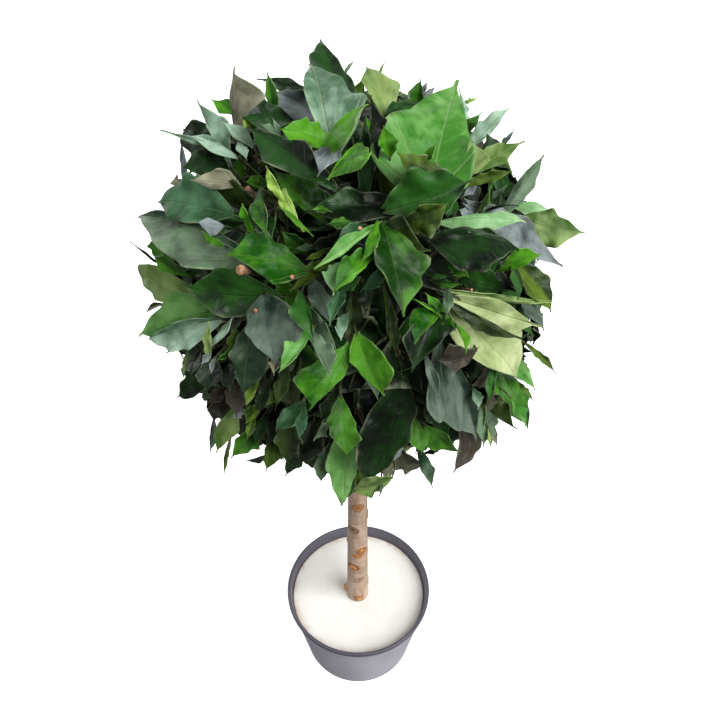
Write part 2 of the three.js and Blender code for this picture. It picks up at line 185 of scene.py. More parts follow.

# Each spot: the pixels of a leaf's root, of its tip and of its two widest places, its tone and its layer
# Then its tint and, where given, its painted shade along it and its painted light and shade across it, and
# how sharp its widest corner is
Spot = namedtuple(
    "Spot", "root tip edge other tone layer tint slope halves corner", defaults=(0.5, None, None, None))
SPOTS = (
    # Upper left
    Spot((346, 100), (320, 39), (311, 65), (355, 84), "dark", 0, 0.8),
    Spot((345, 74), (354, 60), (346, 66), (349, 68), "sage", -1, 0.3),
    Spot((328, 139), (309, 64), (304, 88), (361, 103), "sage", 1, 0.15, -0.2, -0.15, 0.7),
    Spot((312, 101), (302, 79), (303, 91), (308, 88), "mint", 0, 0.7),
    Spot((316, 114), (273, 91), (299, 92), (284, 120), "ash", 0, 0.5, 0.8, -0.2, 0.4),
    Spot((314, 96), (257, 79), (285, 78), (285, 101), "dark", -1, 0.4),
    Spot((272, 109), (267, 72), (264, 90), (277, 91), "bright", 0),
    Spot((285, 121), (242, 118), (262, 103), (262, 126), "dark", 1, 0.4),
    Spot((255, 125), (241, 117), (247, 119), (245, 127), "lime", 2),
    Spot((322, 143), (280, 129), (304, 119), (298, 144), "bright", 1, 0.7, 0.2, 0.1, 0.2),
    Spot((281, 139), (261, 124), (268, 123), (268, 134), "sage_dark", 2, 0.9),
    Spot((279, 133), (273, 118), (274, 126), (279, 125), "sage", 2),
    Spot((236, 126), (234, 67), (231, 96), (267, 90), "brown", 0, 0.8, 0.2, 0.1, 0.2),
    Spot((235, 113), (211, 99), (228, 98), (219, 112), "bright", -1, 0.3),
    Spot((222, 151), (197, 100), (206, 128), (227, 121), "sage", 1, 0.5),
    Spot((247, 143), (221, 121), (245, 127), (232, 137), "sage", 1, 0.9),
    Spot((222, 152), (160, 130), (186, 136), (190, 143), "sage", 1, 0.5),
    Spot((228, 153), (188, 138), (206, 143), (208, 151), "sage", 2, 0.8),
    Spot((228, 160), (183, 129), (209, 124), (187, 152), "dark", 0, 0.3, 0.2, 0.1, 0.3),
    Spot((184, 184), (181, 140), (180, 160), (186, 160), "ash", -1, 1.2),
    Spot((230, 162), (183, 168), (200, 150), (206, 178), "dark", 0, 0.4),
    Spot((230, 185), (190, 180), (219, 169), (209, 189), "brown", 1, 0.8, 0.4),
    Spot((218, 212), (158, 202), (186, 178), (177, 223), "jade", 1, 0.5, 0.2, 0.1, 0.2),
    Spot((184, 186), (169, 184), (176, 177), (177, 188), "brown", 0, 0.4),
    Spot((247, 208), (203, 192), (228, 184), (222, 213), "olive_dark", 0, 0.5, 0.5),
    Spot((236, 222), (203, 222), (220, 213), (222, 234), "forest", 0),
    Spot((219, 225), (197, 222), (207, 217), (209, 237), "ash", 1, 1.3),
    Spot((229, 249), (138, 217), (186, 221), (182, 266), "sage_dark", 1, 0.35, 0.1, -0.45),
    Spot((166, 258), (153, 237), (148, 248), (163, 245), "bright", 2, 0.7),
    Spot((158, 262), (130, 241), (143, 246), (144, 250), "slate", -1),
    Spot((182, 272), (153, 254), (168, 254), (160, 267), "mid", 1, 1.0),
    Spot((220, 243), (202, 231), (211, 238), (207, 242), "bright", 2, 0.8),
    Spot((292, 268), (225, 255), (251, 231), (272, 284), "bright", 1, 0.0, 0.4),
    Spot((252, 233), (242, 204), (239, 213), (249, 218), "bright", 1, 0.9),
    Spot((240, 146), (247, 161), (236, 152), (249, 152), "sage", 1, 0.8),
    Spot((242, 174), (239, 153), (233, 166), (246, 164), "mid", 0, 1.0),
    Spot((281, 195), (266, 166), (266, 184), (275, 180), "lime", 2, 1.1),
    Spot((265, 184), (244, 181), (254, 174), (253, 187), "mid", 0, 0.5),
    Spot((262, 199), (268, 241), (251, 219), (270, 221), "mid", 1, 0.15),
    Spot((320, 214), (270, 166), (320, 184), (283, 192), "mid", 0, 0.45),
    Spot((320, 178), (246, 127), (298, 141), (258, 160), "dark", 1, 0.5, 0.5, -0.3),
    Spot((332, 151), (317, 177), (311, 156), (339, 159), "ash", 2, 0.1),
    Spot((352, 150), (327, 180), (338, 164), (358, 180), "bright", 1, 1.0),
    Spot((288, 196), (304, 232), (284, 211), (297, 209), "lime", 1, 1.0),
    Spot((286, 213), (313, 236), (289, 230), (297, 226), "bright", 2, 1.0),
    Spot((398, 208), (304, 212), (340, 193), (345, 226), "dark", 1, 0.15),
    Spot((326, 211), (310, 210), (317, 207), (317, 213), "mid", 2),
    Spot((349, 224), (327, 224), (337, 218), (336, 230), "mid", 2, 0.0),
    Spot((306, 247), (281, 231), (295, 234), (287, 249), "mid", 0, 0.4),
    Spot((313, 247), (295, 249), (304, 245), (304, 251), "sage_dark", 1),
    Spot((331, 246), (309, 247), (320, 236), (319, 252), "night", 1),
    Spot((323, 251), (306, 260), (312, 254), (317, 258), "olive", 1, 0.6),
    Spot((359, 228), (335, 242), (343, 228), (348, 239), "jade", 1),
    # Upper right
    Spot((436, 172), (458, 80), (379, 138), (473, 165), "spring", 1, 0.15, 0.1, -0.2, 0.25),
    Spot((354, 100), (368, 73), (356, 86), (364, 91), "lime", 0, 0.3),
    Spot((384, 114), (366, 67), (361, 80), (397, 90), "olive_pale", 0, 0.7, 0.1, 0.3),
    Spot((376, 85), (386, 58), (374, 68), (379, 69), "lime", -1),
    Spot((411, 106), (380, 119), (391, 104), (395, 118), "forest", 1),
    Spot((416, 107), (421, 78), (410, 91), (424, 98), "mid", 0, 0.7),
    Spot((420, 96), (428, 81), (419, 88), (428, 88), "ash", -1, 1.6),
    Spot((422, 99), (435, 87), (426, 90), (432, 95), "ash", -1, 1.3),
    Spot((404, 105), (410, 92), (401, 95), (408, 99), "sage", 0, 0.6),
    Spot((466, 122), (459, 87), (461, 106), (469, 108), "sage", 0),
    Spot((465, 104), (479, 98), (470, 97), (471, 105), "lime", -1),
    Spot((376, 148), (371, 95), (370, 120), (386, 118), "night", 1),
    Spot((371, 131), (366, 116), (366, 124), (372, 125), "mid", 2),
    Spot((389, 151), (384, 126), (378, 141), (398, 141), "bright", 2, 0.7),
    Spot((424, 160), (436, 144), (427, 150), (434, 156), "bright", 2, 0.9),
    Spot((325, 148), (368, 104), (341, 130), (352, 144), "bright", 1, 0.9),
    Spot((468, 133), (482, 112), (466, 118), (479, 123), "spring", 0, 0.4),
    Spot((474, 142), (509, 108), (484, 117), (493, 131), "sage", 0, 0.75),
    Spot((502, 146), (514, 129), (505, 136), (509, 138), "slate", -1, 0.3),
    Spot((486, 150), (504, 143), (490, 135), (494, 148), "sage_dark", 0, 0.8),
    Spot((474, 172), (525, 141), (490, 146), (508, 162), "olive_pale", 0, 0.1),
    Spot((472, 168), (470, 140), (467, 155), (490, 157), "olive_pale", 1, 0.9),
    Spot((388, 188), (388, 146), (376, 165), (398, 168), "olive", 0),
    Spot((364, 190), (366, 118), (356, 160), (374, 158), "dark", 0, 0.4),
    Spot((440, 182), (398, 152), (430, 155), (408, 176), "olive", 1, 0.1),
    Spot((402, 205), (472, 180), (424, 167), (450, 207), "forest", 1, 0.6),
    Spot((452, 199), (446, 220), (443, 210), (457, 212), "forest", 0, 0.6),
    Spot((408, 223), (448, 203), (424, 204), (436, 232), "olive", 1, 0.0, 0.8),
    Spot((380, 246), (431, 251), (404, 212), (408, 264), "olive_dark", 1, 0.5, 0.8),
    Spot((386, 240), (404, 317), (376, 268), (431, 268), "mid", 2, 0.05, 0.8, -0.3),
    Spot((374, 229), (362, 262), (366, 243), (377, 246), "bright", 2),
    Spot((369, 231), (314, 269), (338, 241), (338, 259), "spring", 2, 0.7, 0.5),
    Spot((445, 238), (519, 250), (486, 232), (472, 270), "dark", 1, 0.5),
    Spot((475, 222), (459, 209), (465, 207), (463, 217), "ash", 1, 0.6),
    Spot((475, 184), (461, 198), (466, 188), (472, 195), "ash", 0, 0.8),
    Spot((456, 222), (526, 223), (508, 216), (482, 233), "mint", 3, 0.3, 0.2, 0.1, 0.5),
    Spot((470, 184), (513, 171), (488, 172), (492, 182), "olive", 0, 0.7),
    Spot((478, 207), (494, 181), (471, 189), (492, 196), "mid", 0, 0.7),
    Spot((489, 201), (507, 185), (493, 191), (499, 195), "sage_dark", -1, 0.6),
    Spot((508, 206), (544, 155), (520, 180), (531, 193), "sage_dark", 0, 0.6),
    Spot((518, 206), (551, 212), (533, 202), (532, 217), "mint", -1, 0.3),
    Spot((528, 222), (585, 233), (553, 210), (550, 249), "olive_pale", 0, 0.35),
    Spot((486, 216), (563, 266), (532, 217), (513, 250), "ash", 1, 0.5),
    Spot((484, 213), (519, 206), (500, 203), (503, 209), "night", 3),
    Spot((507, 269), (541, 254), (520, 250), (525, 263), "bright", 2, 1.0),
    Spot((519, 266), (546, 275), (532, 264), (529, 271), "ash", 0, 0.5),
    # Lower left
    Spot((203, 302), (138, 266), (165, 268), (161, 297), "olive_pale", 0, 0.8),
    Spot((159, 285), (144, 283), (152, 280), (150, 286), "sage_dark", -1, 0.7),
    Spot((160, 305), (146, 312), (152, 303), (151, 317), "olive", -1),
    Spot((206, 316), (139, 336), (172, 297), (184, 345), "spring", 1, 0.2, 0.5),
    Spot((206, 323), (149, 339), (184, 322), (186, 352), "sage", 2, 0.3),
    Spot((262, 294), (183, 284), (222, 266), (222, 313), "forest", 1, 0.5, 0.3),
    Spot((210, 355), (209, 321), (203, 336), (212, 336), "olive_pale", 2, 0.8),
    Spot((209, 344), (232, 318), (218, 331), (231, 330), "sage", 1, 0.6),
    Spot((231, 353), (236, 326), (228, 337), (240, 336), "olive", 1, 0.9),
    Spot((230, 349), (216, 361), (220, 355), (225, 359), "mid", 1, 0.2),
    Spot((209, 351), (201, 365), (203, 357), (208, 362), "ash", 1, 0.2),
    Spot((215, 360), (211, 373), (209, 366), (214, 368), "ash", 1, 0.9),
    Spot((187, 354), (183, 377), (180, 370), (188, 368), "olive", -1, 0.9),
    Spot((250, 336), (244, 398), (231, 362), (268, 364), "sage_dark", 1, -0.1, 0.3),
    Spot((266, 308), (276, 364), (246, 332), (298, 330), "slate", 1, 0.7, 0.5, 0.2, 0.2),
    Spot((307, 336), (278, 373), (285, 345), (299, 352), "spring", 2, 0.3),
    Spot((304, 301), (313, 343), (289, 318), (312, 325), "forest", 2, 0.8),
    Spot((309, 335), (331, 376), (318, 358), (337, 356), "sage_dark", 2, 1.1),
    Spot((309, 315), (343, 362), (317, 337), (329, 326), "sage_dark", 1, 0.95),
    Spot((315, 286), (332, 328), (311, 305), (332, 305), "slate", 0, 1.1),
    Spot((280, 302), (286, 326), (279, 312), (291, 313), "mid", 0),
    Spot((326, 267), (290, 291), (302, 267), (305, 285), "olive", 0, 0.9),
    Spot((372, 256), (334, 292), (338, 266), (352, 281), "bright", 1, 0.7),
    Spot((343, 269), (333, 295), (324, 275), (341, 283), "mint", 3, 0.1),
    Spot((340, 288), (361, 277), (348, 280), (353, 290), "forest", 1),
    Spot((341, 291), (329, 326), (328, 306), (345, 302), "jade", 1, 0.25),
    Spot((347, 319), (341, 341), (334, 328), (347, 326), "sage", 1, 0.1),
    Spot((352, 300), (352, 350), (341, 330), (365, 325), "olive_dark", 0),
    Spot((342, 357), (309, 411), (290, 384), (343, 376), "bright", 2, 0.45),
    Spot((233, 413), (216, 453), (213, 430), (238, 432), "olive_pale", 0, 0.3),
    Spot((253, 430), (231, 458), (235, 440), (257, 450), "mid", -1, 0.6),
    Spot((213, 423), (210, 452), (211, 438), (216, 442), "slate", -1, 0.3),
    Spot((229, 443), (222, 477), (225, 455), (229, 463), "olive", -1, 0.6),
    Spot((229, 402), (207, 411), (214, 400), (213, 422), "umber", 0, 0.2),
    Spot((207, 382), (177, 397), (184, 375), (190, 399), "dark", 0, 0.5, 0.2, 0.1, 0.4),
    Spot((240, 387), (236, 418), (223, 397), (247, 404), "umber", 1, 0.8),
    Spot((256, 386), (246, 407), (245, 397), (254, 397), "olive", 1, 0.7),
    Spot((276, 387), (259, 412), (265, 398), (273, 402), "olive", 0),
    Spot((288, 416), (288, 464), (277, 440), (301, 442), "olive_dark", 1, 0.9),
    Spot((311, 430), (301, 464), (297, 450), (322, 452), "night", 0),
    Spot((272, 442), (266, 472), (263, 456), (281, 459), "olive", 0, 0.6),
    Spot((303, 410), (299, 439), (295, 423), (308, 426), "jade", 1),
    Spot((327, 422), (314, 441), (315, 428), (327, 437), "sage_dark", 1, 0.4),
    Spot((344, 440), (341, 506), (326, 462), (355, 464), "spring", 1, 1.0),
    Spot((342, 408), (347, 456), (328, 428), (359, 438), "mid", 1, 0.4),
    Spot((360, 465), (345, 502), (350, 487), (358, 489), "forest", 0, 0.2),
    Spot((213, 364), (207, 390), (198, 377), (220, 379), "dark", 1, 0.3, 0.2, 0.1, 0.3),
    Spot((229, 370), (229, 391), (220, 382), (236, 381), "dark", 1, 0.3, 0.2, 0.1, 0.3),
    Spot((224, 388), (208, 403), (211, 392), (221, 403), "umber", 0, 0.5),
    Spot((257, 408), (246, 424), (244, 414), (256, 417), "olive", 2, 0.4),
    Spot((243, 410), (232, 418), (235, 413), (240, 418), "ash", 2, 0.9),
    Spot((266, 455), (246, 461), (256, 460), (258, 464), "slate", -1, 0.2),
    Spot((302, 450), (285, 476), (284, 460), (300, 466), "night", 0, 0.9),
    Spot((297, 407), (275, 431), (278, 416), (291, 428), "jade", 1, -0.1),
    Spot((253, 420), (247, 439), (245, 430), (254, 430), "olive", 1, 0.8),
    Spot((285, 368), (275, 411), (273, 388), (288, 390), "olive_dark", 1, 0.9),
    Spot((277, 357), (274, 376), (269, 366), (280, 366), "brown", 2, 0.4),
    Spot((200, 354), (190, 377), (187, 365), (200, 367), "night", 0, 0.8),
    Spot((268, 384), (257, 418), (256, 400), (268, 402), "night", 0, 0.9),
    Spot((266, 420), (254, 446), (252, 432), (268, 436), "dark", 0, 0.7),
    Spot((278, 420), (268, 444), (267, 432), (281, 434), "night", 0, 1.0),
    Spot((318, 400), (301, 420), (302, 408), (318, 412), "dark", 0, 0.2),
    Spot((335, 395), (322, 425), (318, 408), (338, 412), "night", 0, 1.0),
    # Lower right
    Spot((461, 320), (516, 378), (533, 348), (465, 355), "pale", 1, 0.35, 0.2, 0.1, 0.2),
    Spot((461, 307), (522, 339), (494, 322), (490, 336), "olive_dark", 2, 0.7),
    Spot((463, 303), (541, 327), (505, 302), (517, 338), "pale", 1, 0.4, 0.2),
    Spot((518, 362), (535, 390), (515, 380), (528, 368), "spring", 0, 0.5),
    Spot((526, 305), (544, 331), (525, 317), (538, 311), "slate", 0, 1.0),
    Spot((468, 293), (552, 302), (510, 298), (523, 307), "olive_pale", 1, 0.9),
    Spot((524, 270), (551, 312), (548, 284), (528, 298), "olive", 0, 0.4),
    Spot((514, 270), (518, 300), (505, 284), (523, 284), "forest", 1, 0.7),
    Spot((469, 280), (507, 291), (488, 265), (482, 296), "forest", 0, 0.8, 0.6),
    Spot((451, 262), (469, 277), (456, 275), (466, 266), "bright", 3, 0.7),
    Spot((429, 272), (450, 276), (438, 273), (437, 280), "forest", 2, 0.0),
    Spot((438, 281), (462, 284), (450, 282), (448, 289), "mid", 2),
    Spot((434, 314), (411, 373), (400, 340), (453, 331), "dark", 1, 0.15),
    Spot((437, 315), (414, 344), (409, 318), (431, 327), "bright", 2, 0.3),
    Spot((444, 309), (425, 293), (429, 304), (436, 299), "bright", 2, 0.6),
    Spot((439, 316), (414, 299), (418, 310), (425, 307), "bright", 2),
    Spot((445, 284), (446, 319), (443, 304), (452, 307), "sage_dark", 2, 0.3),
    Spot((441, 317), (457, 332), (447, 328), (453, 319), "bright", 2),
    Spot((455, 328), (466, 354), (461, 342), (468, 340), "bright", 2, 0.8),
    Spot((377, 271), (360, 292), (367, 280), (377, 289), "jade", 1, 0.7),
    Spot((386, 297), (397, 357), (388, 330), (402, 335), "olive", 0, 0.2),
    Spot((469, 352), (436, 360), (450, 346), (452, 370), "umber", 2, 0.6),
    Spot((448, 361), (477, 441), (434, 418), (481, 408), "slate", 1, 0.35, 0.9),
    Spot((428, 362), (439, 399), (428, 380), (440, 384), "slate", 2),
    Spot((362, 346), (384, 396), (352, 362), (396, 374), "bright", 2, 1.1),
    Spot((364, 370), (378, 399), (365, 380), (380, 380), "sage_dark", 2, 0.7),
    Spot((395, 396), (364, 483), (411, 424), (353, 440), "dark", 2, 0.5),
    Spot((416, 419), (422, 455), (408, 440), (429, 440), "mid", 1, 0.6, 0.9),
    Spot((432, 431), (461, 452), (428, 448), (449, 434), "mid", 1, 0.5),
    Spot((464, 430), (453, 473), (434, 453), (482, 446), "umber", 0, 1.0, 0.2, 0.1, 0.3),
    Spot((392, 452), (429, 463), (405, 448), (405, 472), "brown", 0, 0.5),
    Spot((420, 453), (433, 488), (422, 472), (435, 470), "sage_dark", 1, 0.2),
    Spot((388, 461), (385, 487), (375, 474), (395, 472), "brown", 0, 0.4),
    Spot((385, 480), (352, 491), (367, 477), (368, 495), "olive_pale", 0, 0.3),
    Spot((381, 484), (378, 499), (379, 491), (382, 491), "slate", 0),
    Spot((500, 374), (528, 428), (527, 399), (492, 403), "mid", 0, 0.4, 0.3, 0.2, 0.5),
    Spot((484, 404), (517, 429), (508, 401), (497, 417), "olive_dark", 1, 1.0),
    Spot((519, 384), (533, 400), (523, 394), (528, 389), "olive", -1),
    Spot((530, 348), (556, 374), (541, 361), (549, 360), "olive", -1),
    Spot((474, 391), (478, 410), (471, 400), (482, 398), "sage", 1, 0.1),
    Spot((401, 440), (394, 462), (391, 452), (403, 452), "ash", 1, 0.8),
    Spot((363, 460), (354, 493), (352, 478), (366, 480), "olive", 0, 0.7),
    Spot((514, 404), (526, 427), (513, 416), (527, 412), "spring", 1, 0.1),
    Spot((488, 388), (484, 416), (479, 402), (495, 404), "umber", 0, 1.0),
    Spot((494, 426), (497, 445), (492, 434), (497, 436), "brown", 0, 0.5),
    Spot((489, 432), (491, 448), (488, 440), (492, 441), "olive_pale", 1, 0.5),
    Spot((488, 371), (472, 386), (473, 374), (485, 388), "umber", 0, 0.8),
    Spot((493, 366), (489, 402), (486, 384), (495, 385), "forest", 1, 0.6),
    Spot((480, 404), (484, 429), (476, 416), (482, 414), "spring", 1, 0.4),
    Spot((488, 405), (484, 447), (474, 428), (499, 430), "sage_dark", 0, 0.9, 0.2, 0.1, 0.5),
    # Bottom
    Spot((328, 452), (321, 482), (315, 466), (330, 470), "sage_dark", 0, 0.4, 0.2, 0.1, 0.5),
)

# Pixels of the pale cut ends of twigs that show among the leaves, with their radii
CUT_ENDS = (
    ((240, 270), 0.0038),
    ((247, 188), 0.0022),
    ((255, 311), 0.0018),
    ((292, 277), 0.0016),
    ((360, 228), 0.0013),
    ((472, 290), 0.0012),
)
CUT_END_SHELL = 0.186
CUT_END_PX = 4
CUT_TWIG_SHARE = 0.92
CAP_DEPTH = 0.35
CAP_SIDE = 0.2
CAP_RADII = np.array([1.0, 1.0, 0.85])

# Leaf tones: the deep and the light colour of the upper side, and the under side's colour
# Then how rough it is, its share of the ball, and its share of the sprays that face the photograph's viewer,
# where dark tones stand as painted shade
Tone = namedtuple("Tone", "deep light under rough share seen")
TONES = {
    # This tone is near-black painted shade for leaves deep among the others
    "night": Tone("060d05", "1a2a14", "1c2316", 0.44, 12, 20),
    "dark": Tone("041203", "1c4314", "2c3a22", 0.40, 24, 32),
    "forest": Tone("061d03", "2c5f1e", "3c4f2d", 0.40, 22, 20),
    "mid": Tone("0d3404", "48841f", "688542", 0.42, 13, 6),
    "bright": Tone("124c00", "52961c", "7fa345", 0.44, 9, 0),
    "lime": Tone("5f9414", "a8cc60", "a4bb68", 0.46, 4, 0),
    "mint": Tone("78a86c", "b4d8a8", "b4cf9c", 0.50, 0, 0),
    "spring": Tone("3a7a22", "7eb464", "93b072", 0.45, 1, 0),
    "jade": Tone("173d18", "4c7a54", "64845a", 0.42, 3, 3),
    "olive": Tone("20340a", "5e7a24", "667240", 0.42, 6, 3),
    "olive_dark": Tone("0f1a05", "34461a", "4a5430", 0.42, 6, 12),
    "olive_pale": Tone("4a6a2c", "8aa45e", "94a368", 0.46, 2, 0),
    # The next two tones are pale and dark grey-green painted sheen of dark leaves that catch the light
    "sage": Tone("4c6e50", "a4c4aa", "9fb08c", 0.42, 1, 0),
    "sage_dark": Tone("26402a", "667f62", "77855f", 0.42, 2, 1),
    "slate": Tone("1c2e22", "66786a", "5f6d5c", 0.40, 2, 1),
    # This tone is grey-blue painted sheen and painted highlights on dark leaves
    "ash": Tone("3c4444", "8f9a9a", "868c88", 0.40, 1, 0),
    "brown": Tone("4a4a3c", "98987e", "736a58", 0.44, 1, 0),
    "umber": Tone("1f1d18", "433d33", "5a5244", 0.46, 1, 1),
    "pale": Tone("90a266", "c2ce98", "a8b872", 0.55, 0, 0),
}
SPRAY_KEEPS_TONE = 0.55

# What all leaves share: dust mixed with painted sheen, a painted highlight along the margins, veins, streaks
# and gloss
LEAF_DUST_AND_SHEEN = "7c9078"
LEAF_EDGE_HIGHLIGHT = "a9b78e"
UNDER_VEINS = "c9cf9a"
VEIN_BEARING = 0.29
VEIN_SLANT = 0.85
VEIN_STEP = 0.06
VEINS_SHOWN = 0.3
VEINS_SUNK = 0.08
UNDER_VEINS_SHOWN = 0.25
STREAKS_AROUND = 7.0
STREAKS_APART = 30.0
GLOSS_VARIES = (0.08, 0.14)
LEAF_SHEEN = 0.24
UNDER_SHEEN = 0.3

# Colours of the other parts: pairs run from the deep to the light tone
STALK_TONES = ("1c2410", "4a5628")
TWIG_TONES = ("2a2118", "6a5640")
# Near-black painted shade for the ball's inside
CORE_SHADE_TONES = ("070a06", "151d10")
CUT_TWIG_TONES = ("7a5638", "cfa27c")
CUT_STUB_TONES = ("9a5e2c", "dca45a")
BARK_TONES = ("9c8069", "c1a48d")
BARK_STREAK = "dac4b2"
BARK_RING = "755840"
STREAKS_SHOWN = 0.4
RINGS_SHOWN = 0.35
SCAR_GOLD = "c07c3c"
SCAR_DARK = "38220f"
PLASTER_TONES = ("e6e5df", "eeede8")
PLASTER_STAIN = "c9ab92"
PLASTER_SPECK = "a8a29a"
RIM_TONES = ("4f4d57", "575560")
# The wall below the rim is painted paler than the rim: painted bounce light from the floor
WALL_BOUNCE_LIT_TONES = ("b0adb9", "bfbcc7")

# Stem: a cut branch with the scars of its side shoots
PLASTER_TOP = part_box("plaster_fill")[1].z
STEM_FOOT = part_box("stem")[0].z
STEM_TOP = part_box("stem")[1].z
STEM_FOOT_RADIUS = 0.016
STEM_PEG_RADIUS = 0.0115
STEM_PEG_FROM = 0.560
STEM_TAPER_POWER = 1.15
STEM_FLARE = 0.0008
STEM_FLARE_HEIGHT = 0.016
STEM_FOOT_SHIFT = -0.0014
STEM_SIDES = 80
STEM_STEP = 0.0016
BARK_RELIEF = 0.00035
BARK_SWELL = 0.0006
RIDGE_PACES = (9, 45)
SWELL_PACES = (0.8, 22)
BARK_FRACTAL = (0.9, 2.0, 4)
KNOT_SPREAD = 0.008
LIP_WIDTH = 0.28
LIP_RISE = 0.0006
SCAR_MIDDLE = 0.42
SCAR_SINK = 0.0012
CREASE_AT = 0.85
CREASE_WIDTH = 0.2
CREASE_DARK = 0.75
GOLD_FADES = (0.7, 1.3)
# Each scar: its height, bearing in degrees, rise, half breadth and height, slant, gold and dark shares
Scar = namedtuple("Scar", "height bearing rise wide tall slant gold dark")
SCARS = (
    Scar(0.383, -88, 0.0009, 0.0080, 0.0085, 0, 0.8, 0.6),
    Scar(0.329, -118, 0.0014, 0.0092, 0.0072, -30, 0.35, 1.0),
    Scar(0.290, 172, 0.0020, 0.0070, 0.0070, 0, 0.1, 0.3),
    Scar(0.277, -67, 0.0018, 0.0080, 0.0070, 25, 0.9, 0.8),
    Scar(0.264, -90, 0.0006, 0.0095, 0.0060, 8, 0.9, 0.1),
    Scar(0.232, -116, 0.0014, 0.0095, 0.0090, -20, 0.9, 0.9),
    Scar(0.197, -80, 0.0006, 0.0080, 0.0055, 30, 0.2, 0.8),
    Scar(0.151, -176, 0.0030, 0.0070, 0.0070, 0, 0.5, 0.5),
    Scar(0.146, -85, 0.0018, 0.0075, 0.0065, 0, 0.7, 0.7),
    Scar(0.472, 36, 0.0012, 0.0065, 0.0060, 15, 0.4, 0.7),
    Scar(0.421, 128, 0.0014, 0.0070, 0.0062, -20, 0.3, 0.8),
    Scar(0.349, 20, 0.0015, 0.0075, 0.0062, 30, 0.5, 0.8),
    Scar(0.303, 84, 0.0013, 0.0070, 0.0062, -15, 0.3, 0.8),
    Scar(0.252, 42, 0.0016, 0.0075, 0.0070, 20, 0.6, 0.8),
    Scar(0.205, 110, 0.0014, 0.0070, 0.0060, -30, 0.4, 0.8),
    Scar(0.170, 8, 0.0017, 0.0075, 0.0066, 10, 0.5, 0.8),
)
# Short cut stubs of pale wood: height, bearing in degrees, radius and how far they stand out
Stub = namedtuple("Stub", "height bearing radius stands")
STUBS = (
    Stub(0.230, -116, 0.0054, 0.0014),
    Stub(0.151, -178, 0.0046, 0.0032),
    Stub(0.145, -85, 0.0040, 0.0016),
    Stub(0.277, -67, 0.0034, 0.0010),
    Stub(0.252, 42, 0.0036, 0.0014),
)
STUB_SIDES = 20
STUB_NEAR_SCAR = 0.003
STUB_ON_RISE = 0.6
STUB_ROOT_DEPTH = 0.004
STUB_STEPS = np.array([0.5, 0.9, 1.0])
STUB_RADII = np.array([1.0, 1.0, 0.88, 0.6])

# Pot: a tapered plastic wall under a flat rim that overhangs it
POT_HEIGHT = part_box("pot")[1].z
RIM_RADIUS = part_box("pot")[1].x
POT_WALL = 0.0022
POT_FLOOR = 0.003
POT_FOOT_RADIUS = 0.086
POT_FOOT_ROUND = 0.003
POT_FOOT_ENDS = -8
POT_NECK_RADIUS = 0.1065
RIM_DEPTH = 0.007
RIM_ROUND = 0.0015
ROUND_STEPS = 4
LATHE_SIDES = 144
POT_WALL_FROM = 0.05
POT_WALL_RINGS = 16
POT_INSIDE_FROM = 0.002
POT_INSIDE_RINGS = 12

# Plaster: cast in the pot, with a faintly uneven top
PLASTER_RINGS = 48
PLASTER_GAP = 0.0003
PLASTER_RELIEF = 0.0005
PLASTER_RELIEF_SCALE = 55
PLASTER_RELIEF_MIDDLE = 0.6
PLASTER_EDGE_ROUND = 0.002
PLASTER_TOP_FROM = 0.003
PLASTER_TOP_TO = 0.002
PLASTER_STAIN_WIDTH = 0.012

# Floor, light and world
FLOOR_HALF = 6.0
KEY_STRENGTH = 4.1
KEY_SPREAD = math.radians(56)
KEY_TURN = (math.radians(48), 0.0, math.radians(54))
SIDE_STRENGTH = 0.6
SIDE_SPREAD = math.radians(70)
SIDE_TURN = (math.radians(55), 0.0, math.radians(-75))
FILL_STRENGTH = 1.4
FILL_SPREAD = math.radians(70)
FILL_TURN = (math.radians(78), 0.0, math.radians(212))
WORLD_STRENGTH = 0.2
FLOOR_GLOW = 0.8

X_AXIS = np.array([1.0, 0.0, 0.0])
Y_AXIS = np.array([0.0, 1.0, 0.0])
Z_AXIS = np.array([0.0, 0.0, 1.0])
TUBE_UPRIGHT = 0.9
TINY = 1e-6
FINE_FRACTAL = (1.0, 2.0, 4)
MASK = 0xFFFFFFFF

# Sockets of a colour mix node, by number
MIX_SHARE = 0
MIX_FIRST = 6
MIX_SECOND = 7
MIX_RESULT = 2


def unit(vector):
    return vector / np.linalg.norm(vector)


def between(pair, share):
    return pair[0] + (pair[1] - pair[0]) * share


def smoothstep(value, low, high):
    share = np.clip((value - low) / (high - low), 0, 1)
    return share * share * (3 - 2 * share)


def round_turns(sides):
    """Even bearings round a circle."""
    return np.linspace(0, 2 * math.pi, sides, endpoint=False)


def linear(code):
    """A colour written as six hex digits, as the linear numbers that a shader takes."""
    shares = [int(code[i:i + 2], 16) / 255 for i in (0, 2, 4)]
    return tuple(((c + 0.055) / 1.055) ** 2.4 if c > 0.04045 else c / 12.92 for c in shares) + (1.0,)


def seeded_random(seed):
    """Even numbers from 0 to 1, always the same ones for a seed."""
    state = seed & MASK
    while True:
        state = (state + 0x6D2B79F5) & MASK
        mixed = ((state ^ (state >> 15)) * (1 | state)) & MASK
        product = ((mixed ^ (mixed >> 7)) * (61 | mixed)) & MASK
        mixed = ((mixed + product) & MASK) ^ mixed
        yield (mixed ^ (mixed >> 14)) / (MASK + 1)


# Shader nodes


def add_node(tree, kind, inputs=None, **settings):
    """Adds a node; each input is a plain value or another node's output."""
    made = tree.nodes.new(kind)
    for name, value in settings.items():
        setattr(made, name, value)
    for key, value in (inputs or {}).items():
        if isinstance(value, bpy.types.NodeSocket):
            tree.links.new(value, made.inputs[key])
        else:
            made.inputs[key].default_value = value
    return made


def calc(tree, operation, first, second=0.0):
    return add_node(tree, "ShaderNodeMath", {0: first, 1: second}, operation=operation).outputs[0]


def mix_colour(tree, share, first, second, blend="MIX"):
    inputs = {MIX_SHARE: share, MIX_FIRST: first, MIX_SECOND: second}
    return add_node(tree, "ShaderNodeMix", inputs, data_type="RGBA", blend_type=blend).outputs[MIX_RESULT]


